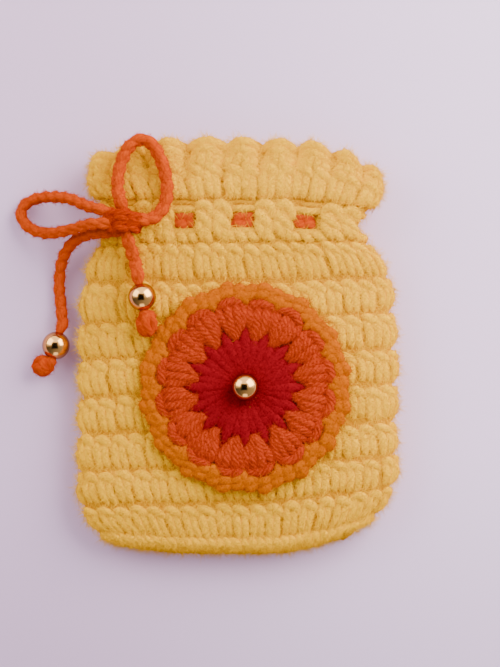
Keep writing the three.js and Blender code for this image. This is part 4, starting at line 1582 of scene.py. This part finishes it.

# Motif petals
# Sixteen fat clusters in orange yarn. Each is four thick strands worked into one place between two points of
# the red star, with a strand across their tops that draws them together.
# Pale colour, then the darker one for darker fibres and painted shade
PETAL_YARN = yarn_material(
    "orange petal yarn", (0.455, 0.043, 0.009), (0.18, 0.008, 0.001), ply_shade=0.28, fibre=1.7, relief=0.6,
)
CLUSTER = [
    [
        (-0.4, 13.6, -1.9, 0.6),
        (-0.9, 15.3, -1.1, 0.95),
        (-2.0, 18.2, -0.9, 1.4),
        (-3.1, 21.4, -1.0, 1.55),
        (-3.2, 24.4, -1.6, 1.0),
    ],
    [
        (-0.3, 13.1, -1.8, 0.6),
        (-0.3, 15.0, -0.95, 1.0),
        (-0.5, 18.2, -0.7, 1.5),
        (-0.9, 21.8, -0.9, 1.5),
        (-0.9, 24.6, -1.6, 1.0),
    ],
    [
        (0.1, 13.2, -1.8, 0.6),
        (0.4, 15.0, -0.95, 1.0),
        (1.2, 18.4, -0.75, 1.45),
        (1.5, 21.8, -0.9, 1.5),
        (1.2, 24.6, -1.6, 1.0),
    ],
    [
        (0.4, 13.8, -1.9, 0.6),
        (1.0, 15.6, -1.1, 0.95),
        (2.3, 18.4, -1.0, 1.4),
        (3.4, 21.4, -1.1, 1.5),
        (3.4, 24.2, -1.7, 1.0),
    ],
    [  # top of the cluster
        (-4.2, 23.4, -1.8, 0.9),
        (-2.4, 24.3, -0.9, 1.4),
        (0.0, 24.8, -0.8, 1.45),
        (2.4, 24.5, -0.9, 1.4),
        (4.2, 23.6, -1.8, 0.9),
    ],
]
petals = joined("crochet_petals", [
    ring_wall("petal_wall", inner=15.4, outer=25.4, top=13.9),
    motif_ring("cluster", CLUSTER, PETAL_YARN, inner=12.0, outer=27.0, seed=52, uneven=0.7, wobble=0.3),
], PETAL_YARN)
fix(petals, "petal_yarn", "motif_petals")
fix(fuzz_of(petals, "yarn_fuzz_petals", PETAL_YARN, count=22000, length=2.4, seed=75), "petal_yarn")

# Motif border
# The last round of the motif, in golden yarn: three short stitches over each petal, and one that is hooked
# down between each two petals and holds the round to them.
# Pale colour, then the darker one for darker fibres and painted shade
BORDER_YARN = yarn_material(
    "golden border yarn", (0.45, 0.098, 0.0), (0.38, 0.076, 0.0), ply_shade=0.06, fibre=0.25, relief=0.2,
)
SPIKE = [
    [
        (0.0, 23.6, -1.9, 0.6),
        (0.1, 24.8, -0.8, 1.05),
        (0.1, 26.4, -0.6, 1.25),
        (0.0, 28.2, -1.3, 1.0),
    ],
]
BORDER_BUMP = [
    [
        (-2.3, 25.9, -1.8, 0.8),
        (-1.0, 26.5, -0.9, 1.3),
        (0.6, 27.0, -0.8, 1.4),
        (2.0, 27.7, -1.5, 0.9),
    ],
    [
        (-2.2, 27.3, -1.6, 0.9),
        (-0.9, 28.4, -0.9, 1.35),
        (0.8, 28.9, -1.0, 1.35),
        (2.3, 28.0, -1.8, 0.8),
    ],
]
BUMPS = ((-3.7, -0.35), (0.0, 0.55), (3.7, -0.35))  # three over each petal, the middle one further out
BORDER_STITCH = []
for across, outward in BUMPS:
    BORDER_STITCH += [moved(rows, across, outward) for rows in BORDER_BUMP]
border = joined("crochet_border", [
    ring_wall("border_wall", inner=25.6, outer=29.2, top=13.7),
    motif_ring("border_stitch", BORDER_STITCH, BORDER_YARN, inner=24.0, outer=31.0, seed=53, wobble=0.25),
    motif_ring("border_spike", SPIKE, BORDER_YARN, inner=22.0, outer=30.0, seed=54, shift=0.5),
], BORDER_YARN)
fix(border, "border_yarn", "motif_border")
fix(fuzz_of(border, "yarn_fuzz_border", BORDER_YARN, count=20000, length=2.4, seed=76), "border_yarn")
bpy.data.objects.remove(motif_form)

# Bead thread
# A short end of plain red sewing thread through the hole of the middle bead, drawn down into the motif on
# each side of it, so that it holds the bead there.
thread_yarn = yarn_material("sewing thread", (0.15, 0.003, 0.005), (0.08, 0.001, 0.002))
bead_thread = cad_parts["bead_thread"]
bead_thread.data.materials.clear()
bead_thread.data.materials.append(thread_yarn)

# Camera
# Nearly straight above the pouch and a little towards its base, so far away that its sides are seen almost
# edge-on.
AIM = Vector((3.4, 2.9, 12.0)) * MM
CAMERA_TILT = math.radians(4)
CAMERA_DISTANCE = 1.6
SENSOR = 36
VIEW_HEIGHT = 0.1905  # height of the picture at the front of the pouch
camera = bpy.data.objects.new("camera", bpy.data.cameras.new("camera"))
bpy.context.scene.collection.objects.link(camera)
away = Vector((0, -math.sin(CAMERA_TILT), math.cos(CAMERA_TILT)))
camera.location = AIM + away * CAMERA_DISTANCE
camera.rotation_euler = (CAMERA_TILT, 0, 0)
camera.data.sensor_width = SENSOR
camera.data.lens = SENSOR * CAMERA_DISTANCE / VIEW_HEIGHT
camera.data.clip_start = 0.01
bpy.context.scene.camera = camera

# Floor and light
# A pale surface under the pouch, with painted shade that darkens it to the left and towards the bottom,
# soft light from the upper right, a weaker one from the upper left, and the even light of a pale room.
FLOOR_CORNERS = [(-2, -2, 0), (2, -2, 0), (2, 2, 0), (-2, 2, 0)]
# Painted light and shade: the floor is painted darker on the left and lighter on the right
SHADED_LEFT_COLOUR = (0.69, 0.48, 0.695, 1)
LIT_RIGHT_COLOUR = (0.84, 0.63, 0.88, 1)
PAINTED_LIGHT_TURN = (-0.07, 0.08)  # x of the floor between which the left colour turns into the right
BOTTOM_PAINTED_SHADE = (-0.1, -0.03, 0.85, 1.0)  # y of the floor between which it grows lighter, and how light there
ROOM_COLOUR = (0.92, 0.90, 1.0, 1)
ROOM_LIGHT = 0.96
FURTHER_LIGHT = (-0.08, 0.1)  # what it gains towards the right and towards the top
DARK_OVERHEAD = (0.90, 0.95, 1.0, 0.1)  # heights between which it falls off, and how much is left there
floor_mesh = bpy.data.meshes.new("floor")
floor_mesh.from_pydata(FLOOR_CORNERS, [], [(0, 1, 2, 3)])
floor = new_piece("floor", floor_mesh)
floor_paint = bpy.data.materials.new("pale floor")
floor_paint.use_nodes = True
floor_tree = floor_paint.node_tree
floor_shader = floor_tree.nodes["Principled BSDF"]
floor_at = parts(floor_tree, add_node(floor_tree, "ShaderNodeTexCoord").outputs["Object"])
painted_light_to_right = mapped(floor_tree, floor_at[0], *PAINTED_LIGHT_TURN, interpolation_type="SMOOTHSTEP")
floor_colour = blend(floor_tree, painted_light_to_right, SHADED_LEFT_COLOUR, LIT_RIGHT_COLOUR)
painted_shade_to_bottom = mapped(floor_tree, floor_at[1], *BOTTOM_PAINTED_SHADE)
floor_tree.links.new(scaled(floor_tree, floor_colour, painted_shade_to_bottom), floor_shader.inputs["Base Color"])
floor_shader.inputs["Roughness"].default_value = 0.8
floor_shader.inputs["Specular IOR Level"].default_value = 0.1
floor_mesh.materials.append(floor_paint)


def soft_light(name, place, size, energy, colour):
    """A square light that faces the pouch."""
    light = bpy.data.lights.new(name, "AREA")
    light.size = size
    light.energy = energy
    light.color = colour
    lamp = bpy.data.objects.new(name, light)
    lamp.location = place
    lamp.rotation_mode = "QUATERNION"
    lamp.rotation_quaternion = Vector(place).to_track_quat("Z", "Y")
    bpy.context.scene.collection.objects.link(lamp)


soft_light("window light", (0.30, 0.21, 0.25), size=0.42, energy=5.1, colour=(1.0, 0.96, 0.94))
soft_light("second window light", (-0.30, 0.17, 0.20), size=0.3, energy=1.2, colour=(1.0, 0.98, 0.96))
world = bpy.data.worlds.new("room light")
world.use_nodes = True
room = world.node_tree
way = parts(room, add_node(room, "ShaderNodeTexCoord").outputs["Generated"])
further = plus(room, times(room, way[1], FURTHER_LIGHT[1]), times(room, way[0], FURTHER_LIGHT[0]))
overhead = mapped(room, way[2], *DARK_OVERHEAD)
room_strength = times(room, plus(room, further, ROOM_LIGHT), overhead)

# What polished metal mirrors: a bright window above, a dim room round it and a small low window in front.
# Each pair says between which directions an edge lies, as parts of x, y or z.
WINDOW_LIGHT = 2.4
WINDOW_SILL = (0.05, 0.2)
WINDOW_SIDE = (-0.2, 0.3)
LOW_WINDOW_SIDES = (0.3, 0.2)
LOW_WINDOW_TOP = (-0.86, -0.92)
DIM_LIGHT = 0.4
DIM_GAIN = 0.3  # towards the right
DARK_SPOT = (-0.12, -0.06)  # x and y of the middle of a dark square overhead
DARK_SPOT_EDGE = (0.38, 0.5)
from_spot = [calc(room, "ABSOLUTE", plus(room, way[k], -middle)) for k, middle in enumerate(DARK_SPOT)]
not_overhead = mapped(room, calc(room, "MAXIMUM", *from_spot), *DARK_SPOT_EDGE)
pane = times(room, mapped(room, way[2], *WINDOW_SILL), not_overhead)
pane = times(room, mapped(room, way[1], *WINDOW_SIDE), pane)
low_pane = mapped(room, calc(room, "ABSOLUTE", way[0]), *LOW_WINDOW_SIDES)
low_pane = times(room, mapped(room, way[1], *LOW_WINDOW_TOP), low_pane)
dim = times(room, plus(room, times(room, way[0], DIM_GAIN), DIM_LIGHT), not_overhead)
mirrored = plus(room, dim, times(room, plus(room, pane, low_pane), WINDOW_LIGHT))
in_mirror = add_node(room, "ShaderNodeLightPath").outputs["Is Glossy Ray"]
strength = add_node(room, "ShaderNodeMix", {
    "Factor": in_mirror,
    2: room_strength,
    3: mirrored,
}, data_type="FLOAT").outputs[0]
background = room.nodes["Background"]
background.inputs["Color"].default_value = ROOM_COLOUR
room.links.new(strength, background.inputs["Strength"])
bpy.context.scene.world = world
